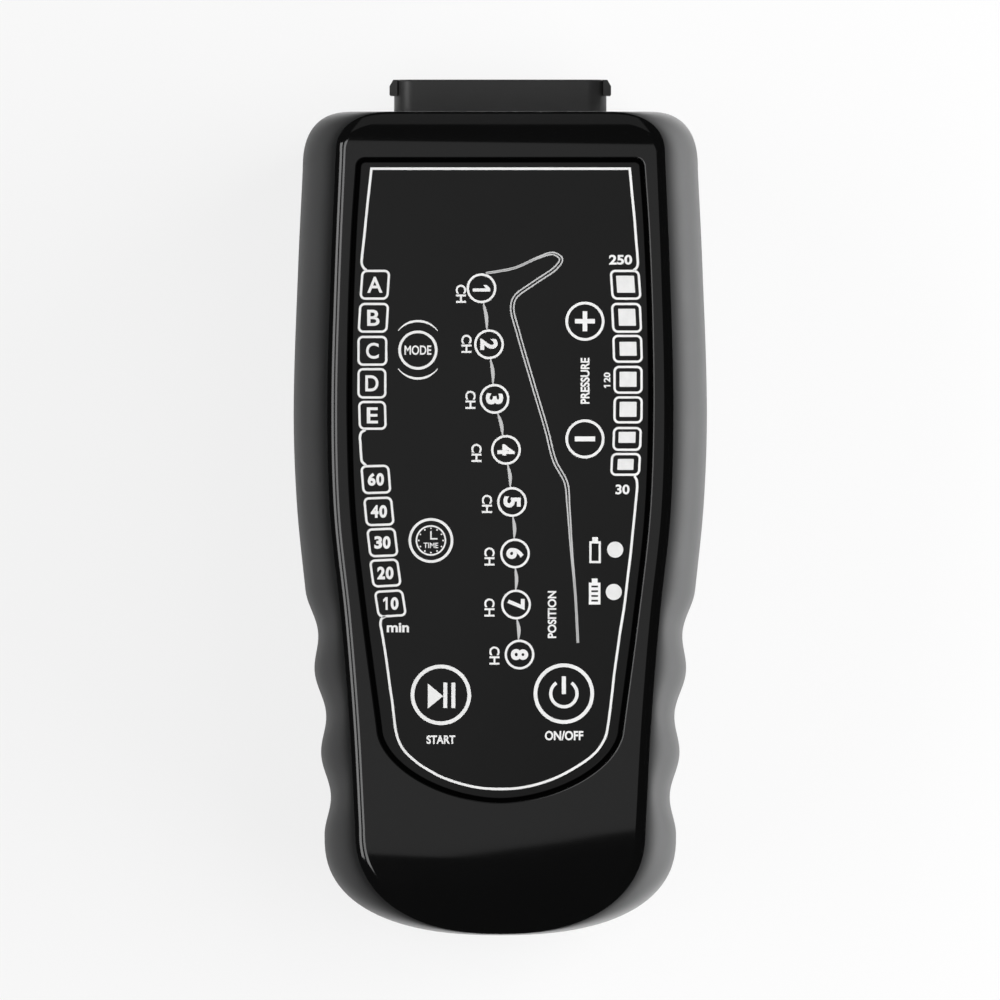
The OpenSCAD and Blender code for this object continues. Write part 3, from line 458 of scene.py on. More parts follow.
casing = {
    "topY": 96.1, "lowY": -103.9, "halfWidth": 50.2, "shoulderIn": 2.2, "tailIn": 7.5,
    "cornerLength": 14, "cornerWidth": 12, "cornerPower": 2.5, "tailLength": 23.9, "tailPower": 2.4,
    "widest": 72, "scallops": 3, "pitch": 20, "depth": 1.9, "backWave": 0.3,
    "backZ": 1, "sideZ": 13, "shoulderZ": 24, "partZ": 38, "backRounding": 9, "wall": 2.4,
}
steps = {"corner": 18, "side": 165, "tail": 26, "rounding": 9, "shoulder": 16, "fillet": 9, "rim": 4}
past = 1                      # how far a cutting form reaches past what it cuts
hair = 0.01                   # kept between two surfaces that would else lie in one plane
tailY = casing["lowY"] + casing["tailLength"]
tailS = casing["topY"] - tailY
gripS = tailS - casing["scallops"] * casing["pitch"]
bodySide = [                  # (distance from the top, how far the side lies in from its widest)
    (casing["cornerLength"], casing["shoulderIn"]),
    (mix(casing["cornerLength"], casing["widest"], 0.4), casing["shoulderIn"] * 0.5),
    (casing["widest"], 0),
    (mix(casing["widest"], gripS, 0.52), casing["tailIn"] * 0.1),
    (gripS, casing["tailIn"] * 0.38),
    (mix(gripS, tailS, 1 / 3), casing["tailIn"] * 0.68),
    (mix(gripS, tailS, 2 / 3), casing["tailIn"] * 0.89),
    (tailS, casing["tailIn"]),
]


def scallop(s):
    if s < gripS or s > tailS:
        return 0
    return casing["depth"] * (1 - math.cos(2 * math.pi * (s - gripS) / casing["pitch"])) / 2


def bodyOutline(wave, inset=0):
    c = casing
    corner = quarter((c["halfWidth"] - c["shoulderIn"] - c["cornerWidth"], c["topY"] - c["cornerLength"]),
                     (c["cornerWidth"] - inset, c["cornerLength"] - inset), c["cornerPower"], 90, 2,
                     steps["corner"])
    side = []
    for i in range(steps["side"] + 1):
        s = mix(c["cornerLength"], tailS, i / steps["side"])
        side.append((c["halfWidth"] - smoothCurve(bodySide, s) - wave * scallop(s) - inset, c["topY"] - s))
    tail = quarter((0, tailY), (c["halfWidth"] - c["tailIn"] - inset, c["tailLength"] - inset),
                   c["tailPower"], -2, -90, steps["tail"])
    return mirrored(corner + side + tail)


cover = {
    "half": 41.95, "topIn": 2.05, "tailIn": 6.75, "cornerLength": 10, "cornerWidth": 14, "power": 2.3,
    "topGap": 0.2, "lowGap": 0.5, "frontZ": 46, "underZ": 42.2, "wall": 2.4, "fillet": 2.5, "slope": 42,
    "rim": 0.03, "topDrop": 2.2, "topRoll": 10, "tailDrop": 4.2, "tailRoll": 27, "ease": 1.1,
    "stemHole": 5.12, "pipeHole": 3.68,
}
coverTopY = casing["topY"] - cover["topGap"]
coverLowY = casing["lowY"] + cover["lowGap"]
coverTailY = tailY + 2
coverStart = cover["topGap"] + cover["cornerLength"]
coverEnd = casing["topY"] - coverTailY
coverSide = [(coverStart, cover["topIn"]), (mix(coverStart, casing["widest"], 0.5), cover["topIn"] * 0.37)]
coverSide += [(mix(casing["widest"], coverEnd, share), cover["tailIn"] * drawn)
              for share, drawn in ((0, 0), (0.25, 0.1), (0.5, 0.5), (0.75, 0.8), (1, 1))]


def coverOutline(inset=0):
    c = cover
    corner = quarter((c["half"] - c["topIn"] - c["cornerWidth"], coverTopY - c["cornerLength"]),
                     (c["cornerWidth"] - inset, c["cornerLength"] - inset), c["power"], 90, 2,
                     steps["corner"])
    side = []
    for i in range(steps["side"] + 1):
        s = mix(coverStart, coverEnd, i / steps["side"])
        side.append((c["half"] - smoothCurve(coverSide, s) - inset, casing["topY"] - s))
    tail = quarter((0, coverTailY), (c["half"] - c["tailIn"] - inset, coverTailY - coverLowY - inset),
                   c["power"], -2, -90, steps["tail"])
    return mirrored(corner + side + tail)


def roll(y):                                  # how far the cover's front drops towards its ends
    top = coverTopY - cover["topRoll"]
    tail = coverLowY + cover["tailRoll"]
    if y > top:
        return cover["topDrop"] * ((y - top) / cover["topRoll"]) ** 2
    if y < tail:
        return cover["tailDrop"] * ((tail - y) / cover["tailRoll"]) ** 2
    return 0


def rollSlope(y):
    return abs(roll(y + 0.01) - roll(y - 0.01)) / 0.02


overlay = {
    "width": 72, "top": 12.4, "length": 154.3, "topIn": 2.1, "tailIn": 7.2, "tailLength": 17.1,
    "tailPower": 1.8, "corner": 1.2, "lowZ": 44.4, "topZ": 45.8, "groove": 0.8, "edge": 0.3, "lip": 0.55,
    "keyGap": 0.24, "steps": 60,
}
overlayTopY = casing["topY"] - overlay["top"]
overlayLowY = overlayTopY - overlay["length"]


def overlayOutline():
    o = overlay
    half = o["width"] / 2
    stations = [(0, o["topIn"]), (0.12, o["topIn"] * 0.48), (0.28, o["topIn"] * 0.1), (0.45, 0),
                (0.62, o["tailIn"] * 0.12), (0.8, o["tailIn"] * 0.5), (1, o["tailIn"])]
    sideTop = overlayTopY - o["corner"]
    sideLow = overlayLowY + o["tailLength"]
    corner = quarter((half - o["topIn"] - o["corner"], sideTop), (o["corner"], o["corner"]), 2, 90, 6, 10)
    side = [(half - smoothCurve(stations, i / o["steps"]), mix(sideTop, sideLow, i / o["steps"]))
            for i in range(o["steps"] + 1)]
    tail = quarter((0, sideLow), (half - o["tailIn"], o["tailLength"]), o["tailPower"], -3, -90, 28)
    return mirrored(corner + side + tail)


# Rear shell: hollow, with the wells, feet seats, jack hole, grille and connector opening cut into it

shellCuts = {
    "screws": [(33.6, 82.0), (-33.6, 82.0), (20, -87.0), (-20, -87.0)], "well": 6, "column": 8.4,
    "screwHole": 3.3, "seatZ": 27,
    "feet": [(28, 58.1), (-28, 58.1), (22, -67.9), (-22, -67.9)], "foot": 12.1, "footZ": 2.2,
    "jack": 8.1, "jackZ": 15, "jackY": -101.2,
    "grille": (21, 20.1), "slots": 6, "slotPitch": 3.6, "slotWidth": 1.6, "slotLength": 20, "floorZ": 3.4,
    "label": (0, -26.9), "labelSize": (46, 30), "labelZ": 1.5, "labelRadius": 1.5,
    "openSize": (51.7, 14.1, 4.64), "openZ": 20, "openY": 91,
}


def roundedBox(centre, width, height, radius, steps=8):
    x, y = centre
    places = []
    for sx, sy, start in ((1, 1, 0), (-1, 1, 90), (-1, -1, 180), (1, -1, 270)):
        for i in range(steps + 1):
            a = math.radians(start + 90 * i / steps)
            places.append((x + sx * (width / 2 - radius) + radius * math.cos(a),
                           y + sy * (height / 2 - radius) + radius * math.sin(a)))
    return places


def shellRings(inset, roundings, shoulders):
    c = casing
    rings = []
    for i in range(roundings + 1):
        a = math.radians(mix(90, 0, i / roundings))
        flat = 1 - math.cos(a)
        outline = bodyOutline(mix(1, c["backWave"], flat), inset + (c["backRounding"] - inset) * flat)
        z = c["sideZ"] - (c["sideZ"] - c["backZ"] - inset) * math.sin(a)
        rings.append([(x, y, z) for x, y in outline])
    body, top = bodyOutline(1, inset), coverOutline(inset)
    for share, short in rounding(1, shoulders):
        z = c["shoulderZ"] + (c["partZ"] - inset - c["shoulderZ"]) * (1 - short)
        rings.append([(mix(p[0], q[0], share), mix(p[1], q[1], share), z) for p, q in zip(body, top)])
    return rings


def rearShell():
    s = shellCuts
    outside = shellRings(0, steps["rounding"], steps["shoulder"])
    shell = newObject("rearShell", Shape().loft(outside).mesh("rearShell"))
    hollow = shellRings(casing["wall"], 5, 7)
    hollow.append([(x, y, casing["partZ"] + past) for x, y in coverOutline(casing["wall"])])
    carve(shell, Shape().loft(hollow))
    columns = Shape()
    for place in s["screws"]:
        columns.post(place, s["column"], s["floorZ"] - past / 2, casing["partZ"] - hair)
    carve(shell, columns, "UNION")
    cuts = Shape()
    for place in s["screws"]:
        cuts.post(place, s["well"], 0, s["seatZ"])
        cuts.post(place, s["screwHole"], s["seatZ"] - past, casing["partZ"] + past)
    for place in s["feet"]:
        cuts.post(place, s["foot"], 0, s["footZ"], 64)
    for i in range(s["slots"]):
        centre = (s["grille"][0], s["grille"][1] + (i - (s["slots"] - 1) / 2) * s["slotPitch"])
        slot = roundedBox(centre, s["slotLength"], s["slotWidth"], s["slotWidth"] / 2 - hair)
        cuts.plate(slot, 0, s["floorZ"] + past)
    cuts.plate(roundedBox(s["label"], *s["labelSize"], s["labelRadius"]), 0, s["labelZ"])
    cuts.tunnel(circle((0, s["jackZ"]), s["jack"], 48), casing["lowY"] - 2 * past, s["jackY"] + past)
    cuts.tunnel(roundedBox((0, s["openZ"]), *s["openSize"]), s["openY"], casing["topY"] + 2 * past)
    carve(shell, cuts)
    dress(shell, "gripShell", "grip_shell", stands=["rear_shell"])


rearShell()
print("rear shell made")


# Front cover: rolled down at both ends, with the recess and the holes for stems and light pipes

keys = {
    "key_mode": {"at": (-19.95, 38.1), "size": 9.6, "name": "modeKey"},
    "key_time": {"at": (-16.8, -8.0), "size": 10.9, "name": "timeKey"},
    "key_pressure_up": {"at": (20.5, 45.1), "size": 9.5, "name": "pressureUpKey"},
    "key_pressure_down": {"at": (20.5, 16.6), "size": 9.5, "name": "pressureDownKey"},
    "key_start": {"at": (-14.4, -45.4), "size": 14.7, "name": "startKey"},
    "key_power": {"at": (15.4, -45.1), "size": 14.7, "name": "powerKey"},
}
lampPlaces = [(-30.5, 53.9 - 7.9 * i) for i in range(5)]
lampPlaces += [(-30.1 + 0.88 * i, 6.8 - 7.5 * i) for i in range(5)]
lampPlaces += [(30.7, 53.9 - 7.25 * i) for i in range(7)]
lampPlaces += [(-4.6 + 1.9 * i - 0.083 * i * i, 53.1 - 13.45 * i + 0.11 * i * i) for i in range(8)]
lampPlaces += [(27.9, -10.3), (27.5, -20.5)]


def coverRing(inset, drop):                   # the rounding eases off where the ends roll down
    return [(x, y, cover["frontZ"] - drop * (1 - cover["ease"] * rollSlope(y)) - roll(y))
            for x, y in coverOutline(inset)]


def frontCover():
    c = cover
    rings = [[(x, y, casing["partZ"]) for x, y in coverOutline()]]
    slope = math.radians(c["slope"])          # the rounding ends at this slope, in a small rim
    radius = (c["fillet"] - c["rim"] * (1 - math.sin(slope))) / math.sin(slope)
    rimDrop = radius * (1 - math.cos(slope))
    for i in range(steps["rim"]):
        a = math.radians(mix(90, c["slope"], i / steps["rim"]))
        drop = rimDrop + c["rim"] * (math.cos(slope) - math.cos(a))
        rings.append(coverRing(c["rim"] * (1 - math.sin(a)), drop))
    for i in range(steps["fillet"] + 1):
        a = slope * (1 - i / steps["fillet"])
        rings.append(coverRing(c["fillet"] - radius * math.sin(a), radius * (1 - math.cos(a))))
    piece = newObject("frontCover", Shape().loft(rings).mesh("frontCover"))
    under = coverOutline(c["wall"])
    inside = [[(x, y, casing["partZ"] - past) for x, y in under],
              [(x, y, c["underZ"] - roll(y)) for x, y in under]]
    carve(piece, Shape().loft(inside))
    edge = grown(overlayOutline(), overlay["groove"])
    recess = [[(x, y, overlay["lowZ"]) for x, y in edge]]
    for out, drop in rounding(overlay["lip"]):      # the recess flares, which rounds the cover's edge
        flared = grown(overlayOutline(), overlay["groove"] + out)
        recess.append([(x, y, c["frontZ"] - drop) for x, y in flared])
    recess.append([(x, y, c["frontZ"] + past) for x, y in flared])
    carve(piece, Shape().stack(recess))
    holes = Shape()
    low, high, half = c["underZ"] - past, overlay["lowZ"] + past, c["pipeHole"] / 2
    for key in keys.values():
        holes.post(key["at"], c["stemHole"], low, high)
    for x, y in lampPlaces:
        holes.block((x - half, y - half, low), (x + half, y + half, high))
    carve(piece, holes)
    dress(piece, "glossCover", "gloss_cover", stands=["front_cover"])


frontCover()
print("front cover made")


# Keypad overlay and its keys

def keypadOverlay():
    o = overlay
    outline = overlayOutline()
    rings = [[(x, y, o["lowZ"]) for x, y in outline]]
    for inward, drop in rounding(o["edge"]):
        rings.append([(x, y, o["topZ"] - drop) for x, y in grown(outline, -inward)])
    piece = newObject("keypadOverlay", Shape().stack(rings).mesh("keypadOverlay"))
    holes = Shape()
    for key in keys.values():
        holes.post(key["at"], key["size"] + o["keyGap"], o["lowZ"] - past, o["topZ"] + past, 96)
    carve(piece, holes)
    dress(piece, "overlayFilm", "overlay_film", stands=["keypad_overlay"])


def keyCaps():
    shape = {"capZ": 45.0, "edge": 0.14, "stem": 2.5, "collar": 3.7, "collarTop": 41.9, "collarLow": 40.9,
             "tip": 1.65, "tipZ": 39.1}
    tip, collar, stem = shape["tip"], shape["collar"], shape["stem"]
    below = [(0.0, "tipZ"), (tip, "tipZ"), (tip, "collarLow"), (collar, "collarLow"), (collar, "collarTop"),
             (stem, "collarTop"), (stem, "capZ")]
    for node, key in keys.items():
        r = key["size"] / 2
        profile = [(across, shape[z]) for across, z in below] + [(r, shape["capZ"])]
        profile += [(r - inward, overlay["topZ"] - drop) for inward, drop in rounding(shape["edge"], 4)]
        profile.append((0.0, overlay["topZ"]))
        cap = Shape().turned(profile, (*key["at"], 0), steps=96)
        make(key["name"], cap, "overlayFilm", "overlay_film", body=node, stands=[node])


def grooveSeal():             # matt black strip on the groove's floor: painted shade that keeps the groove dark
    strip = {"extra": 0.04, "sunk": 0.05, "high": 0.25}
    path = grown(overlayOutline(), overlay["groove"] / 2)
    low, high = overlay["lowZ"] - strip["sunk"], overlay["lowZ"] + strip["high"]
    form = Shape().ribbon(path, overlay["groove"] + strip["extra"], low, high, True)
    make("grooveSeal", form, "mattBlack", "rubber", weighted=False)


keypadOverlay()
grooveSeal()
keyCaps()
print("overlay and keys made")


# Hose connector with its latch lugs, and the turned air nipples in it

connector = {
    "size": (51.6, 14, 4.6), "wall": 1.6, "z": 20, "innerY": 86.5, "outerY": 103.9, "flangeY": (90.9, 93.1),
    "flangeLip": 2.4, "chamfer": 0.5, "mouth": 0.15, "lugLength": 3.9, "lugOut": 1.1, "lugTip": 0.2,
    "lugHeight": 11.8, "lugCorner": 0.25, "lugBack": 0.05, "lugTaper": 0.4, "leastRadius": 0.5,
}
nipple = {
    "count": 8, "pitch": 5.6, "diameter": 3.6, "root": 4.6, "bore": 2, "length": 5.5, "rootLength": 10.5,
    "barbs": [(-0.1, 0), (-0.1, 2.4), (0, 2.55), (-0.22, 3.9), (-0.1, 4.0), (-0.04, 4.2), (-0.44, 5.35),
              (-0.59, 5.5)],              # (change of radius, distance from the root)
    "lip": 0.1,
}


def connectorRing(grow, y):
    width, height, radius = (size + more for size, more in zip(connector["size"], (2 * grow, 2 * grow, grow)))
    outline = roundedBox((0, connector["z"]), width, height, max(radius, connector["leastRadius"]), 10)
    return [(x, y, z) for x, z in outline]


def connectorLugs():
    c = connector
    half = c["size"][0] / 2
    inner, outer = half - c["wall"] / 2, half + c["lugOut"]
    back, front = c["outerY"] - c["lugLength"], c["outerY"] - c["lugBack"]
    edge = [(inner, back), (outer - c["lugCorner"], back), (outer, back + c["lugCorner"]),
            (outer, front - c["lugLength"] * c["lugTaper"]), (half + c["lugTip"], front), (inner, front)]
    lugs = Shape()
    for side in (-1, 1):
        lugs.plate([(side * x, y) for x, y in edge], c["z"] - c["lugHeight"] / 2, c["z"] + c["lugHeight"] / 2)
    return lugs


def hoseConnector():
    c = connector
    back, front = c["flangeY"]
    rings = [connectorRing(grow, y) for grow, y in (
        (0, c["innerY"]), (0, back), (c["flangeLip"], back), (c["flangeLip"], front), (0, front))]
    rings += [connectorRing(-inward, c["outerY"] - drop) for inward, drop in rounding(c["chamfer"])]
    rings += [connectorRing(inward - c["wall"], c["outerY"] - drop)
              for inward, drop in reversed(rounding(c["mouth"], 3))]
    rings.append(connectorRing(-c["wall"], c["innerY"]))
    form = Shape()
    points, faces = form.sides(rings, True)
    piece = newObject("hoseConnector", form.add(points, faces).mesh("hoseConnector"))
    carve(piece, connectorLugs(), "UNION")
    dress(piece, "connectorPlastic", "connector", stands=["hose_connector"])


def airNipples():
    n = nipple
    bore, root, radius = n["bore"] / 2, n["root"] / 2, n["diameter"] / 2
    tip = n["rootLength"] + n["length"]
    profile = [(bore, 0), (root, 0), (root, n["rootLength"])]
    profile += [(radius + change, n["rootLength"] + along) for change, along in n["barbs"]]
    profile += [(bore + n["lip"], tip), (bore, tip - n["lip"])]
    form = Shape()
    for i in range(n["count"]):
        place = ((i - (n["count"] - 1) / 2) * n["pitch"], connector["innerY"], connector["z"])
        form.turned(profile, place, axis="y", steps=40)
    make("airNipples", form, "nipplePlastic", "nipple", stands=["air_nipples"], sharp=40)


hoseConnector()
airNipples()


# Charging jack with its centre pin, and domed feet

def chargingJack():
    j = {"y": -103.5, "z": 15, "nose": 8, "bore": 5.7, "depth": 9, "edge": 0.3, "floor": 1, "bodyY": -100.5,
         "size": (9, 13, 11), "pin": 2, "pinIn": 1.6, "pinLength": 7.5, "pinEdge": (0.2, 0.25)}
    bore, nose, pin, edge = j["bore"] / 2, j["nose"] / 2, j["pin"] / 2, j["edge"]
    back = j["depth"] + j["floor"]
    profile = [(0.0, j["depth"]), (bore, j["depth"]), (bore, edge), (bore + edge, 0), (nose - edge, 0),
               (nose, edge), (nose, back), (0.0, back)]
    tube = Shape().turned(profile, (0, j["y"], j["z"]), axis="y")
    make("chargingJack", tube, "blackMoulding", "black_parts", stands=["charging_jack"])
    width, length, height = j["size"]
    body = Shape().block((-width / 2, j["bodyY"], j["z"] - height / 2),
                         (width / 2, j["bodyY"] + length, j["z"] + height / 2))
    block = newObject("jackBlock", body.mesh("jackBlock"))
    carve(block, Shape().tunnel(circle((0, j["z"]), j["bore"], 64), j["bodyY"] - past, j["y"] + j["depth"]))
    dress(block, "blackMoulding", "black_parts")
    profile = [(0.0, 0), (pin - j["pinEdge"][0], 0), (pin, j["pinEdge"][1]), (pin, j["pinLength"]),
               (0.0, j["pinLength"])]
    centrePin = Shape().turned(profile, (0, j["y"] + j["pinIn"], j["z"]), axis="y", steps=32)
    make("jackPin", centrePin, "contactBrass", "steel")


def rubberFeet():
    foot = {"diameter": 12, "seatZ": 2.2, "dome": [(-0.7, 0), (-0.35, 0.08), (-0.1, 0.35), (0, 0.7)]}
    r = foot["diameter"] / 2
    profile = [(0.0, 0)] + [(r + change, z) for change, z in foot["dome"]]
    profile += [(r, foot["seatZ"]), (0.0, foot["seatZ"])]
    form = Shape()
    for place in shellCuts["feet"]:
        form.turned(profile, (*place, 0))
    make("rubberFeet", form, "softRubber", "rubber", stands=["rubber_feet"])


chargingJack()
rubberFeet()
print("connector, nipples, jack and feet made")


# Printed graphics: thin closed ink on the overlay, and on each key it rides with that key

ink = {"low": 45.79, "high": 45.835, "frame": 0.6, "tile": 0.56, "tileRadius": 1.4, "bold": 0.03}


def slide(first, second, start, stop, now):
    return first * ((stop - now) / (stop - start)) + second * ((now - start) / (stop - start))


def smoothPath(corners, steps=8):             # curve through points, by chord length
    pts = [Vector(p) for p in corners]
    pts = [2 * pts[0] - pts[1]] + pts + [2 * pts[-1] - pts[-2]]
    path = []
    for k in range(1, len(pts) - 2):
        p = pts[k - 1:k + 3]
        t = [0.0]
        for near, far in zip(p, p[1:]):
            t.append(t[-1] + (far - near).length ** 0.5)
        for i in range(steps):
            now = mix(t[1], t[2], i / steps)
            a = [slide(p[j], p[j + 1], t[j], t[j + 1], now) for j in range(3)]
            b = [slide(a[j], a[j + 1], t[j], t[j + 2], now) for j in range(2)]
            path.append(tuple(slide(*b, t[1], t[2], now)))
    return path + [tuple(corners[-1])]


def arc(centre, radius, start, stop, steps):
    turns = [math.radians(mix(start, stop, i / steps)) for i in range(steps + 1)]
    return [(centre[0] + radius * math.cos(a), centre[1] + radius * math.sin(a)) for a in turns]


def turnedTo(at, x, y, turn):                 # (x, y) turned and then moved by the place
    a = math.radians(turn)
    return at[0] + x * math.cos(a) - y * math.sin(a), at[1] + x * math.sin(a) + y * math.cos(a)


class Ink(Shape):
    def line(self, path, width, closed=False):
        return self.ribbon(path, width, ink["low"], ink["high"], closed)

    def ring(self, centre, outer, stroke):
        return self.line(arc(centre, outer - stroke / 2, 0, 360, 96)[:-1], stroke, True)

    def area(self, outline):
        return self.plate(outline, ink["low"], ink["high"])

    def dot(self, centre, diameter, steps=40):
        return self.area(circle(centre, diameter, steps))

    def bar(self, centre, size):
        x, y, w, h = *centre, size[0] / 2, size[1] / 2
        return self.area([(x - w, y - h), (x + w, y - h), (x + w, y + h), (x - w, y + h)])

    def word(self, text, at, size, turn=0, bold=ink["bold"]):     # size is its length and height
        curve = bpy.data.curves.new("word", "FONT")
        curve.body = text
        curve.extrude = 0.5
        curve.offset = bold
        curve.resolution_u = 5
        piece = newObject("word", curve)
        mesh = finalMesh(piece)
        xs, ys = [v.co.x for v in mesh.vertices], [v.co.y for v in mesh.vertices]
        points = []
        for v in mesh.vertices:
            x = (v.co.x - (min(xs) + max(xs)) / 2) * size[0] / (max(xs) - min(xs))
            y = (v.co.y - (min(ys) + max(ys)) / 2) * size[1] / (max(ys) - min(ys))
            points.append((*turnedTo(at, x, y, turn), ink["high"] if v.co.z > 0 else ink["low"]))
        self.add(points, [list(p.vertices) for p in mesh.polygons])
        bpy.data.objects.remove(piece)
        return self

    def one(self, at, size, turn=0):          # the numeral with a flag, in shares of half its size
        outline = [(0.05, -1), (1, -1), (1, 1), (0.05, 1), (-1, 0.62), (-1, 0.22), (0.05, 0.5)]
        return self.area([turnedTo(at, x * size[0] / 2, y * size[1] / 2, turn) for x, y in outline])

    def printed(self, name, finish="whiteInk", slot="overlay_film", body="casing"):
        make(name, self, finish, slot, body=body, sharp=30, weighted=False)


def sheared(outline, centre, lean, rise):
    return [(x + lean * (y - centre[1]), y + rise * (x - centre[0])) for x, y in outline]


def framePrint():
    lines = {
        "topLeft": [(-32.43, 57.45), (-33.11, 58.05), (-33.57, 59.15), (-33.5, 60.72), (-33.04, 64.84),
                    (-32.55, 69.69), (-32.05, 74.54), (-31.2, 82.05)],
        "topRight": [(31.35, 82.05), (32.05, 74.54), (32.53, 69.69), (32.89, 64.84), (33.23, 60.72),
                     (33.31, 59.02), (33.01, 58.05), (32.29, 57.45)],
        "left": [(-32.68, 18.79), (-33.69, 18.11), (-33.98, 17.09), (-33.89, 15.63), (-33.72, 12.73),
                 (-33.5, 11.15), (-32.55, 10.18)],
        "low": [(-27.83, -26.42), (-28.75, -26.98), (-29.02, -28.24), (-28.68, -30.18), (-27.95, -34.54),
                (-27.32, -38.91), (-26.74, -43.27), (-26.11, -47.63), (-25.62, -51.99), (-25.3, -54.18),
                (-24.7, -56.3), (-23.7, -58.3), (-22.25, -59.99), (-19.34, -62.39), (-16.92, -63.87),
                (-14.5, -65.18),
                (-9.65, -66.9), (-4.8, -67.93), (0.05, -68.2), (4.9, -67.9), (9.74, -66.81), (14.59, -64.96),
                (19.44, -62.2), (21.86, -60.45), (23.4, -59.0), (24.6, -57.3), (25.5, -55.5), (26.0, -53.3),
                (26.59, -49.09), (27.17, -44.24), (27.71, -39.39), (28.41, -34.54), (29.02, -30.18),
                (30.11, -23.39),
                (30.95, -16.12), (31.56, -11.27), (32.05, -6.42), (32.77, 0.85), (33.14, 5.2), (33.0, 6.7),
                (32.5, 7.6)],
    }
    form = Ink()
    form.line(smoothPath(lines["topLeft"]) + smoothPath(lines["topRight"]), ink["frame"])
    form.line(smoothPath(lines["left"]), ink["frame"])
    form.line(smoothPath(lines["low"], 5), ink["frame"])
    form.printed("framePrint")


tiles = {                     # (sign, centre, size, lean of the sides, rise of the top and bottom)
    "mode": [("A", (-30.37, 53.93), (7.03, 7.27), 0.07), ("B", (-30.74, 45.93), (7.27, 7.27), 0.06),
             ("C", (-30.98, 37.94), (7.27, 7.27), 0), ("D", (-31.1, 30.06), (7.03, 7.4), 0),
             ("E", (-30.98, 22.3), (6.79, 7.03), -0.03)],
    "time": [("60", (-30.13, 6.79), (7.03, 7.03), -0.083, 0.03),
             ("40", (-29.4, -0.97), (7.03, 7.03), -0.1, 0.035),
             ("30", (-28.55, -8.48), (7.1, 7.03), -0.12, 0.04),
             ("20", (-27.83, -15.88), (7.1, 6.79), -0.14, 0.05),
             ("10", (-26.62, -23.27), (7.1, 6.54), -0.156, 0.055)],
    "pressure": [((30.35, 53.93), (7.27, 7.27), -0.075), ((30.59, 45.93), (7.27, 7.27), -0.05),
                 ((30.83, 38.42), (7.27, 6.79), -0.03), ((30.95, 30.91), (7.1, 6.79), 0),
                 ((30.95, 23.63), (7.1, 6.6), 0.01), ((30.71, 16.6), (7.03, 5.82), 0.03),
                 ((30.35, 10.42), (7.27, 5.58), 0.05)],
    "windows": [((30.35, 54.06), (4.36, 4.12)), ((30.71, 46.06), (4.12, 4.12)),
                ((30.95, 38.42), (4.12, 3.39)), ((30.95, 31.03), (4.12, 3.64)),
                ((30.95, 23.76), (4.12, 3.64)), ((30.71, 16.97), (4.12, 2.67)),
                ((30.35, 10.42), (3.88, 2.67))],
    "windowRadius": 0.15,
    "letter": {"widths": {"A": 3.7, "B": 3.0, "C": 3.1, "D": 3.2, "E": 2.7}, "height": 3.9, "bold": 0.018},
    "digit": {"size": (1.9, 3.1), "off": 1.02, "one": (1.1, 3.1), "oneOff": 1.2, "bold": 0.045},
}


def tilePrint():
    form = Ink()
    stroke, letter, digit = ink["tile"], tiles["letter"], tiles["digit"]

    def tile(centre, size, lean, rise=0):
        box = roundedBox(centre, size[0] - stroke, size[1] - stroke, ink["tileRadius"] - stroke / 2)
        form.line(sheared(box, centre, lean, rise), stroke, True)

    for name, centre, size, lean in tiles["mode"]:
        tile(centre, size, lean)
        form.word(name, centre, (letter["widths"][name], letter["height"]), bold=letter["bold"])
    for name, (x, y), size, lean, rise in tiles["time"]:
        tile((x, y), size, lean, rise)
        if name[0] == "1":
            form.one((x - digit["oneOff"], y), digit["one"])
        else:
            form.word(name[0], (x - digit["off"], y), digit["size"], bold=digit["bold"])
        form.word(name[1], (x + digit["off"], y), digit["size"], bold=digit["bold"])
    for centre, size, lean in tiles["pressure"]:
        tile(centre, size, lean)
    form.printed("tilePrint")
    windows = Ink()
    for (centre, size), (_, _, lean) in zip(tiles["windows"], tiles["pressure"]):
        windows.area(sheared(roundedBox(centre, *size, tiles["windowRadius"], 2), centre, lean, 0))
    windows.printed("pressureWindows", "milkyWindow", "light_pipe")


channels = {
    "places": [(-4.56, 53.09), (-2.74, 39.51), (-1.41, 26.3), (1.38, 13.94), (2.84, 1.33), (3.56, -11.15),
               (3.81, -23.51), (4.65, -35.63)],
    "words": [(-9.53, 51.75), (-8.19, 39.63), (-7.22, 26.06), (-5.77, 13.21), (-3.22, 0.85), (-2.62, -11.88),
              (-2.62, -24.24), (-1.41, -35.88)],
    "outer": 3.6, "stroke": 0.56, "one": (1.6, 4.2), "digit": (2.7, 4.2), "digitBold": 0.04,
    "word": (4.4, 2.5), "wordBold": 0.025, "bow": 0.25, "linkEnd": 0.26, "linkSwell": 0.6,
}


def channelLink(above, below):                # a leaf-shaped line between two channels, with its widths
    c = channels
    along = (below - above).normalized()
    start, stop = above + along * c["outer"], below - along * c["outer"]
    middle = (start + stop) / 2 + Vector((-along.y, along.x)) * c["bow"]
    path = smoothPath([tuple(start), tuple(middle), tuple(stop)], 10)
    last = len(path) - 1
    return path, [c["linkEnd"] + c["linkSwell"] * math.sin(math.pi * k / last) for k in range(last + 1)]


def channelPrint():
    c = channels
    form, links = Ink(), Ink()
    for i, place in enumerate(c["places"]):
        form.ring(place, c["outer"], c["stroke"])
        if i:
            form.word(str(i + 1), place, c["digit"], turn=-90, bold=c["digitBold"])
            links.line(*channelLink(Vector(c["places"][i - 1]), Vector(place)))
        else:
            form.one(place, c["one"], turn=-90)
        form.word("CH", c["words"][i], c["word"], turn=-90, bold=c["wordBold"])
    form.printed("channelPrint")
    links.printed("channelLinks", "greyInk")


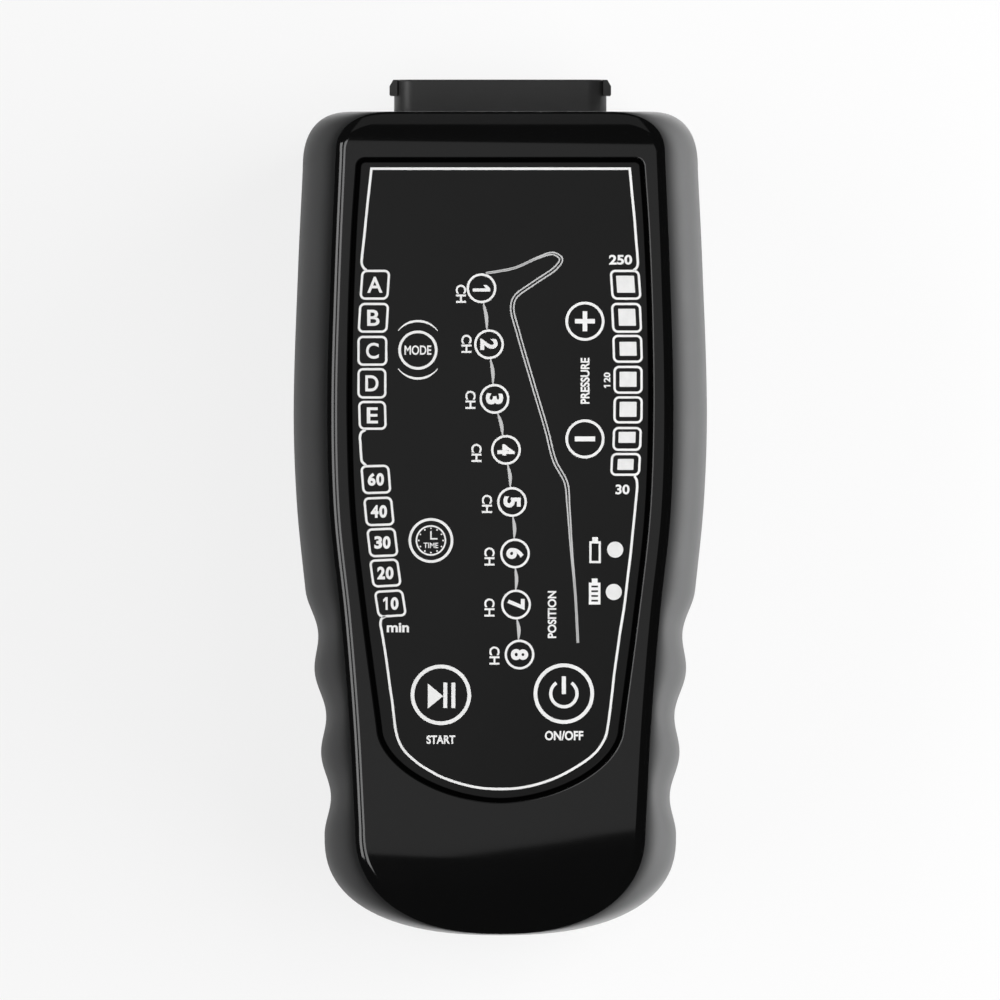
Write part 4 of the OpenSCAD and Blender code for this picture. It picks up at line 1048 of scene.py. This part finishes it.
def legPrint():               # a plain leg seen from the side, in a double line
    leg = {"points": [(-3.5, 56.7), (3.4, 58.0), (9.4, 60.6), (12.8, 61.5), (14.7, 60.2), (13.6, 58.2),
                      (8.2, 54.4), (3.6, 50.9), (2.9, 48.2), (4.3, 42.4), (8.0, 29.6), (11.2, 18.8),
                      (13.2, 11.2), (15.9, 6.0), (16.5, 0.2), (17.2, -9.8), (18.2, -21.5), (18.8, -32.8)],
           "gap": 0.38, "least": 0.35, "parting": 34, "meeting": 30, "stroke": 0.36}
    middle = smoothPath(leg["points"])
    last = len(middle) - 1
    form = Ink()
    for side in (-1, 1):
        path = []
        for i, (x, y) in enumerate(middle):   # the two lines part and meet over some points at the ends
            a, b = middle[max(i - 1, 0)], middle[min(i + 1, last)]
            across = Vector((a[1] - b[1], b[0] - a[0])).normalized()
            share = min(1, i / leg["parting"], (last - i) / leg["meeting"])
            gap = leg["gap"] * max(share, leg["least"]) * side
            path.append((x + across.x * gap, y + across.y * gap))
        form.line(path, leg["stroke"])
    form.printed("legPrint", "greyInk")


def labelPrint():
    words = {"250": ((29.14, 59.99), (5.6, 2.4), 0, 0.035), "30": ((29.62, 4.36), (3.4, 2.4)),
             "20": ((25.86, 31.5), (2.4, 1.6), 90), "PRESSURE": ((20.53, 30.66), (11.15, 2.2), 90),
             "POSITION": ((12.53, -25.94), (11.4, 2.1), 90), "min": ((-24.8, -29.09), (5.4, 2.3)),
             "START": ((-14.37, -56.24), (7.0, 2.1), 0, 0.032),
             "ON/OFF": ((15.44, -55.27), (9.3, 2.3), 0, 0.032)}       # centre, size, turn and boldness
    one = {"at": (25.86, 29.3), "size": (0.7, 1.6), "turn": 90}      # stands before the 20
    arcs = {"radius": 6.0, "up": 1.04, "down": 0.87, "spread": 53, "stroke": 0.54, "thin": 0.3, "steps": 40}
    form = Ink()
    for text, placing in words.items():
        form.word(text, *placing)
    form.one(**one)
    x, y = keys["key_mode"]["at"]
    last = arcs["steps"]
    widths = [arcs["stroke"] * mix(arcs["thin"], 1, min(1, 3 * k / last, 3 * (last - k) / last))
              for k in range(last + 1)]
    for centre, middle in (((x, y + arcs["up"]), 90), ((x, y - arcs["down"]), 270)):
        path = arc(centre, arcs["radius"], middle - arcs["spread"], middle + arcs["spread"], last)
        form.line(path, widths)
    form.printed("labelPrint")


def batteryPrint():
    look = {"empty": (22.96, -10.84), "full": (22.86, -20.87), "size": (2.8, 5.3), "stroke": 0.54,
            "cap": (1.4, 1.0), "slots": 4, "slot": (1.6, 0.44), "lamps": [(27.83, -10.23), (27.49, -20.48)],
            "lamp": 3.9}
    form, lamps = Ink(), Ink()
    w, h = look["size"]
    slotW, slotH = look["slot"]
    x, y = look["empty"]
    u, v = (w - look["stroke"]) / 2, (h - look["stroke"]) / 2
    form.line([(x - u, y - v), (x + u, y - v), (x + u, y + v), (x - u, y + v)], look["stroke"], True)
    form.bar((x, y + (h + look["cap"][1]) / 2), look["cap"])
    x, y = look["full"]
    rib = (h - look["slots"] * slotH) / (look["slots"] + 1)
    side = (w - slotW) / 2
    for i in range(look["slots"] + 1):
        form.bar((x, y - h / 2 + rib / 2 + i * (rib + slotH)), (w, rib))
    for i in range(look["slots"]):
        middle = y - h / 2 + rib + slotH / 2 + i * (rib + slotH)
        for sign in (-1, 1):
            form.bar((x + sign * (w - side) / 2, middle), (side, slotH))
    form.bar((x, y + (h + look["cap"][1]) / 2), look["cap"])
    form.printed("batteryPrint")
    for place in look["lamps"]:
        lamps.dot(place, look["lamp"])
    lamps.printed("batteryWindows", "milkyWindow", "light_pipe")


# Signs on the keys, each drawn about its key's centre

def modeSign(form, x, y):
    word = {"size": (6.5, 2.3), "bold": 0.02}
    form.word("MODE", (x, y), **word)


def clockSign(form, x, y):
    face = {"ring": (3.7, 0.39), "hours": 2.95, "hour": 0.4, "hub": 0.4, "minuteHand": 2.3, "hourHand": 1.6,
            "hand": 0.36, "wordDrop": 1.2, "word": (3.6, 1.3), "bold": 0.01}
    form.ring((x, y), *face["ring"])
    for a in alongCircle(12):
        form.dot((x + face["hours"] * math.cos(a), y + face["hours"] * math.sin(a)), face["hour"], 12)
    hub = y + face["hub"]
    form.line([(x, y + face["minuteHand"]), (x, hub), (x + face["hourHand"], hub)], face["hand"])
    form.word("TIME", (x, y - face["wordDrop"]), face["word"], bold=face["bold"])


def plusSign(form, x, y):
    reach, half = 2.42, 0.55
    arm = [(reach, -half), (reach, half), (half, half)]
    form.area([turnedTo((x, y), u, v, turn) for turn in (0, 90, 180, 270) for u, v in arm])


def minusSign(form, x, y):
    bar = (4.95, 1.2)
    form.bar((x, y), bar)


def playSign(form, x, y):
    play = {"arrow": [(-3.15, -3.3), (0.55, -0.3), (-3.15, 2.75)], "bars": [(1.08, -0.1), (3.03, -0.1)],
            "bar": (0.95, 6.15)}
    form.area([(x + u, y + v) for u, v in play["arrow"]])
    for u, v in play["bars"]:
        form.bar((x + u, y + v), play["bar"])


def powerSign(form, x, y):
    power = {"radius": 3.18, "opening": (125, 415), "stroke": 0.78, "barUp": 2.05, "bar": (1.0, 4.3)}
    form.line(arc((x, y), power["radius"], *power["opening"], 60), power["stroke"])
    form.bar((x, y + power["barUp"]), power["bar"])


legends = {                   # (outer radius and stroke of the key's ring, its sign)
    "key_mode": (4.75, 0.64, modeSign), "key_time": (5.42, 0.64, clockSign),
    "key_pressure_up": (4.73, 0.65, plusSign), "key_pressure_down": (4.73, 0.65, minusSign),
    "key_start": (7.32, 0.9, playSign), "key_power": (7.32, 0.9, powerSign),
}


def keyLegends():
    for node, (outer, stroke, sign) in legends.items():
        form = Ink().ring(keys[node]["at"], outer, stroke)
        sign(form, *keys[node]["at"])
        form.printed(keys[node]["name"].replace("Key", "Legend"), body=node)


framePrint()
tilePrint()
channelPrint()
legPrint()
labelPrint()
batteryPrint()
keyLegends()
print("prints made")


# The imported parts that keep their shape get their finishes

nodeFinishes = {
    "clearPipe": ["mode_light_pipes", "time_light_pipes", "pressure_light_pipes", "channel_light_pipes",
                  "battery_light_pipes"],
    "solderMask": ["main_board"],
    "lampEpoxy": ["indicator_lamps"],
    "blackMoulding": ["key_switches", "board_components", "buzzer", "pressure_sensor", "pump_head", "pump_cap",
                      "battery_tray", "charging_jack"],
    "ivoryMoulding": ["board_plugs", "valve_manifold", "pump_rocker"],
    "connectorPlastic": ["hose_connector", "nipple_plate"],
    "nipplePlastic": ["air_nipples"],
    "softRubber": ["connector_gasket", "pump_diaphragm", "pump_saddles", "rubber_feet"],
    "siliconeTube": ["air_hose", "sensor_hose"],
    "zincSteel": ["board_screws", "case_screws", "pump_band", "motor_can"] +
                 [f"valve_plunger_{i}" for i in range(1, 9)],
    "sinteredMagnet": ["motor_magnet"],
    "woundCopper": ["motor_rotor", "valve_coils"],
    "redLead": ["motor_leads", "battery_leads"],
    "cellSleeve": ["battery_cells"],
    "openFoam": ["intake_filter"],
    "gripShell": ["rear_shell"],
    "glossCover": ["front_cover"],
    "overlayFilm": ["keypad_overlay"] + list(keys),
}
for finish, nodes in nodeFinishes.items():
    for node in nodes:
        mesh = frame["nodes"][node].data
        if not mesh.materials:
            mesh.materials.append(None)
        for i in range(len(mesh.materials)):
            mesh.materials[i] = finishes[finish]
        mesh.set_sharp_from_angle(angle=math.radians(30))
print("packed parts dressed")


# Floor, lamps and camera

view = {"height": 7.5, "width": 0.2422, "at": (-0.00007, 0.0018), "reach": 100, "aim": (0, 0, 0.03)}
surround = {"colour": (1, 1, 1, 1), "strength": 0.06}
floor = {"level": 0.934, "kept": 0.86, "half": 8.0, "colour": (0.8, 0.8, 0.8, 1), "gloss": 0.9}
lamps = {                     # tilt from straight up, bearing from +X and distance, or a place above the part
    "overhead": {"place": (-0.0646, 0.0412, 0.546), "turn": 60, "size": (0.347, 0.319), "radiance": 0.5},
    "leftBox": {"tilt": 72, "bearing": 180, "distance": 1.2, "size": (0.8, 2.0), "radiance": 4.6,
                "spares": "gloss, prints"},
    "innerStrip": {"tilt": 12.4, "bearing": 180, "distance": 1.2, "size": (0.29, 1.0), "radiance": 3.8,
                   "only": ["frontCover"]},
    "outerStrip": {"tilt": 38, "bearing": 180, "distance": 1.2, "size": (0.35, 1.0), "radiance": 4.6,
                   "only": ["frontCover", "hoseConnector"]},
    "rightBox": {"tilt": 84, "bearing": 0, "distance": 1.1, "size": (0.6, 2.0), "radiance": 27.5,
                 "spares": "gloss"},
    "upperBox": {"tilt": 45, "bearing": 20, "distance": 1.4, "size": (0.9, 1.2), "radiance": 2.6,
                 "spares": "gloss"},
    "topBox": {"tilt": 55, "bearing": 90, "distance": 1.4, "size": (0.9, 0.6), "radiance": 0.28},
}
glossy = ["frontCover", "grooveSeal", "keypadOverlay", "hoseConnector"]
glossy += [key["name"] for key in keys.values()]
printEndings = ("Print", "Links", "Windows", "Legend")


def makeFloor():
    finish = Finish("studioFloor", {"Base Color": floor["colour"], "Roughness": floor["gloss"]})
    seen = finish.add("ShaderNodeLightPath", out="Is Camera Ray")
    for ray in ("Is Glossy Ray", "Is Transmission Ray"):
        seen = seen.maths("MAXIMUM", seen, finish.add("ShaderNodeLightPath", out=ray))
    white = finish.add("ShaderNodeEmission", values={"Strength": floor["level"]})
    lit = Value(finish, finish.shader.outputs[0])
    both = finish.add("ShaderNodeMixShader", values={0: seen * floor["kept"], 1: lit, 2: white})
    finish.join(finish.tree.nodes["Material Output"].inputs["Surface"], both)
    mesh = bpy.data.meshes.new("studioFloor")
    corners = [(x * floor["half"], y * floor["half"], 0) for x, y in ((-1, -1), (1, -1), (1, 1), (-1, 1))]
    mesh.from_pydata(corners, [], [(0, 1, 2, 3)])
    mesh.materials.append(finish.material)
    newObject("studioFloor", mesh)


def lights(look, name):       # gloss parts and prints show nothing of the lamps that spare them
    if "only" in look:
        return name in look["only"]
    if "gloss" in look["spares"] and name in glossy:
        return False
    return not ("prints" in look["spares"] and name.endswith(printEndings))


def makeLamp(name, look):
    lamp = bpy.data.lights.new(name, "AREA")
    lamp.shape = "RECTANGLE"
    lamp.size, lamp.size_y = look["size"]
    lamp.energy = look["radiance"] * math.pi * look["size"][0] * look["size"][1]
    piece = newObject(name, lamp)
    aim = Vector(view["aim"])
    if "place" in look:
        piece.location = look["place"]
        piece.rotation_euler = (0, 0, math.radians(look["turn"]))
    else:
        tilt, bearing = math.radians(look["tilt"]), math.radians(look["bearing"])
        level = look["distance"] * math.sin(tilt)
        piece.location = aim + Vector((level * math.cos(bearing), level * math.sin(bearing),
                                       look["distance"] * math.cos(tilt)))
        piece.rotation_euler = (0, tilt, bearing)
    piece.visible_camera = False
    if "only" in look or "spares" in look:
        lit = bpy.data.collections.new(name + "Lit")
        for other in bpy.context.scene.objects:
            if other.type == "MESH" and lights(look, other.name):
                lit.objects.link(other)
        piece.light_linking.receiver_collection = lit


def makeCamera():
    camera = bpy.data.cameras.new("camera")
    camera.lens = camera.sensor_width * view["height"] / view["width"]
    camera.clip_end = view["reach"]
    piece = newObject("camera", camera)
    piece.location = (*view["at"], cadBox[1][2] + view["height"])
    bpy.context.scene.camera = piece


def makeWorld():
    world = bpy.data.worlds.new("studio")
    world.use_nodes = True
    light = world.node_tree.nodes["Background"].inputs
    light["Color"].default_value = surround["colour"]
    light["Strength"].default_value = surround["strength"]
    bpy.context.scene.world = world


makeFloor()
for name, look in lamps.items():
    makeLamp(name, look)
makeCamera()
makeWorld()
bpy.context.scene.view_settings.view_transform = "Standard"
print("floor, lamps and camera made")
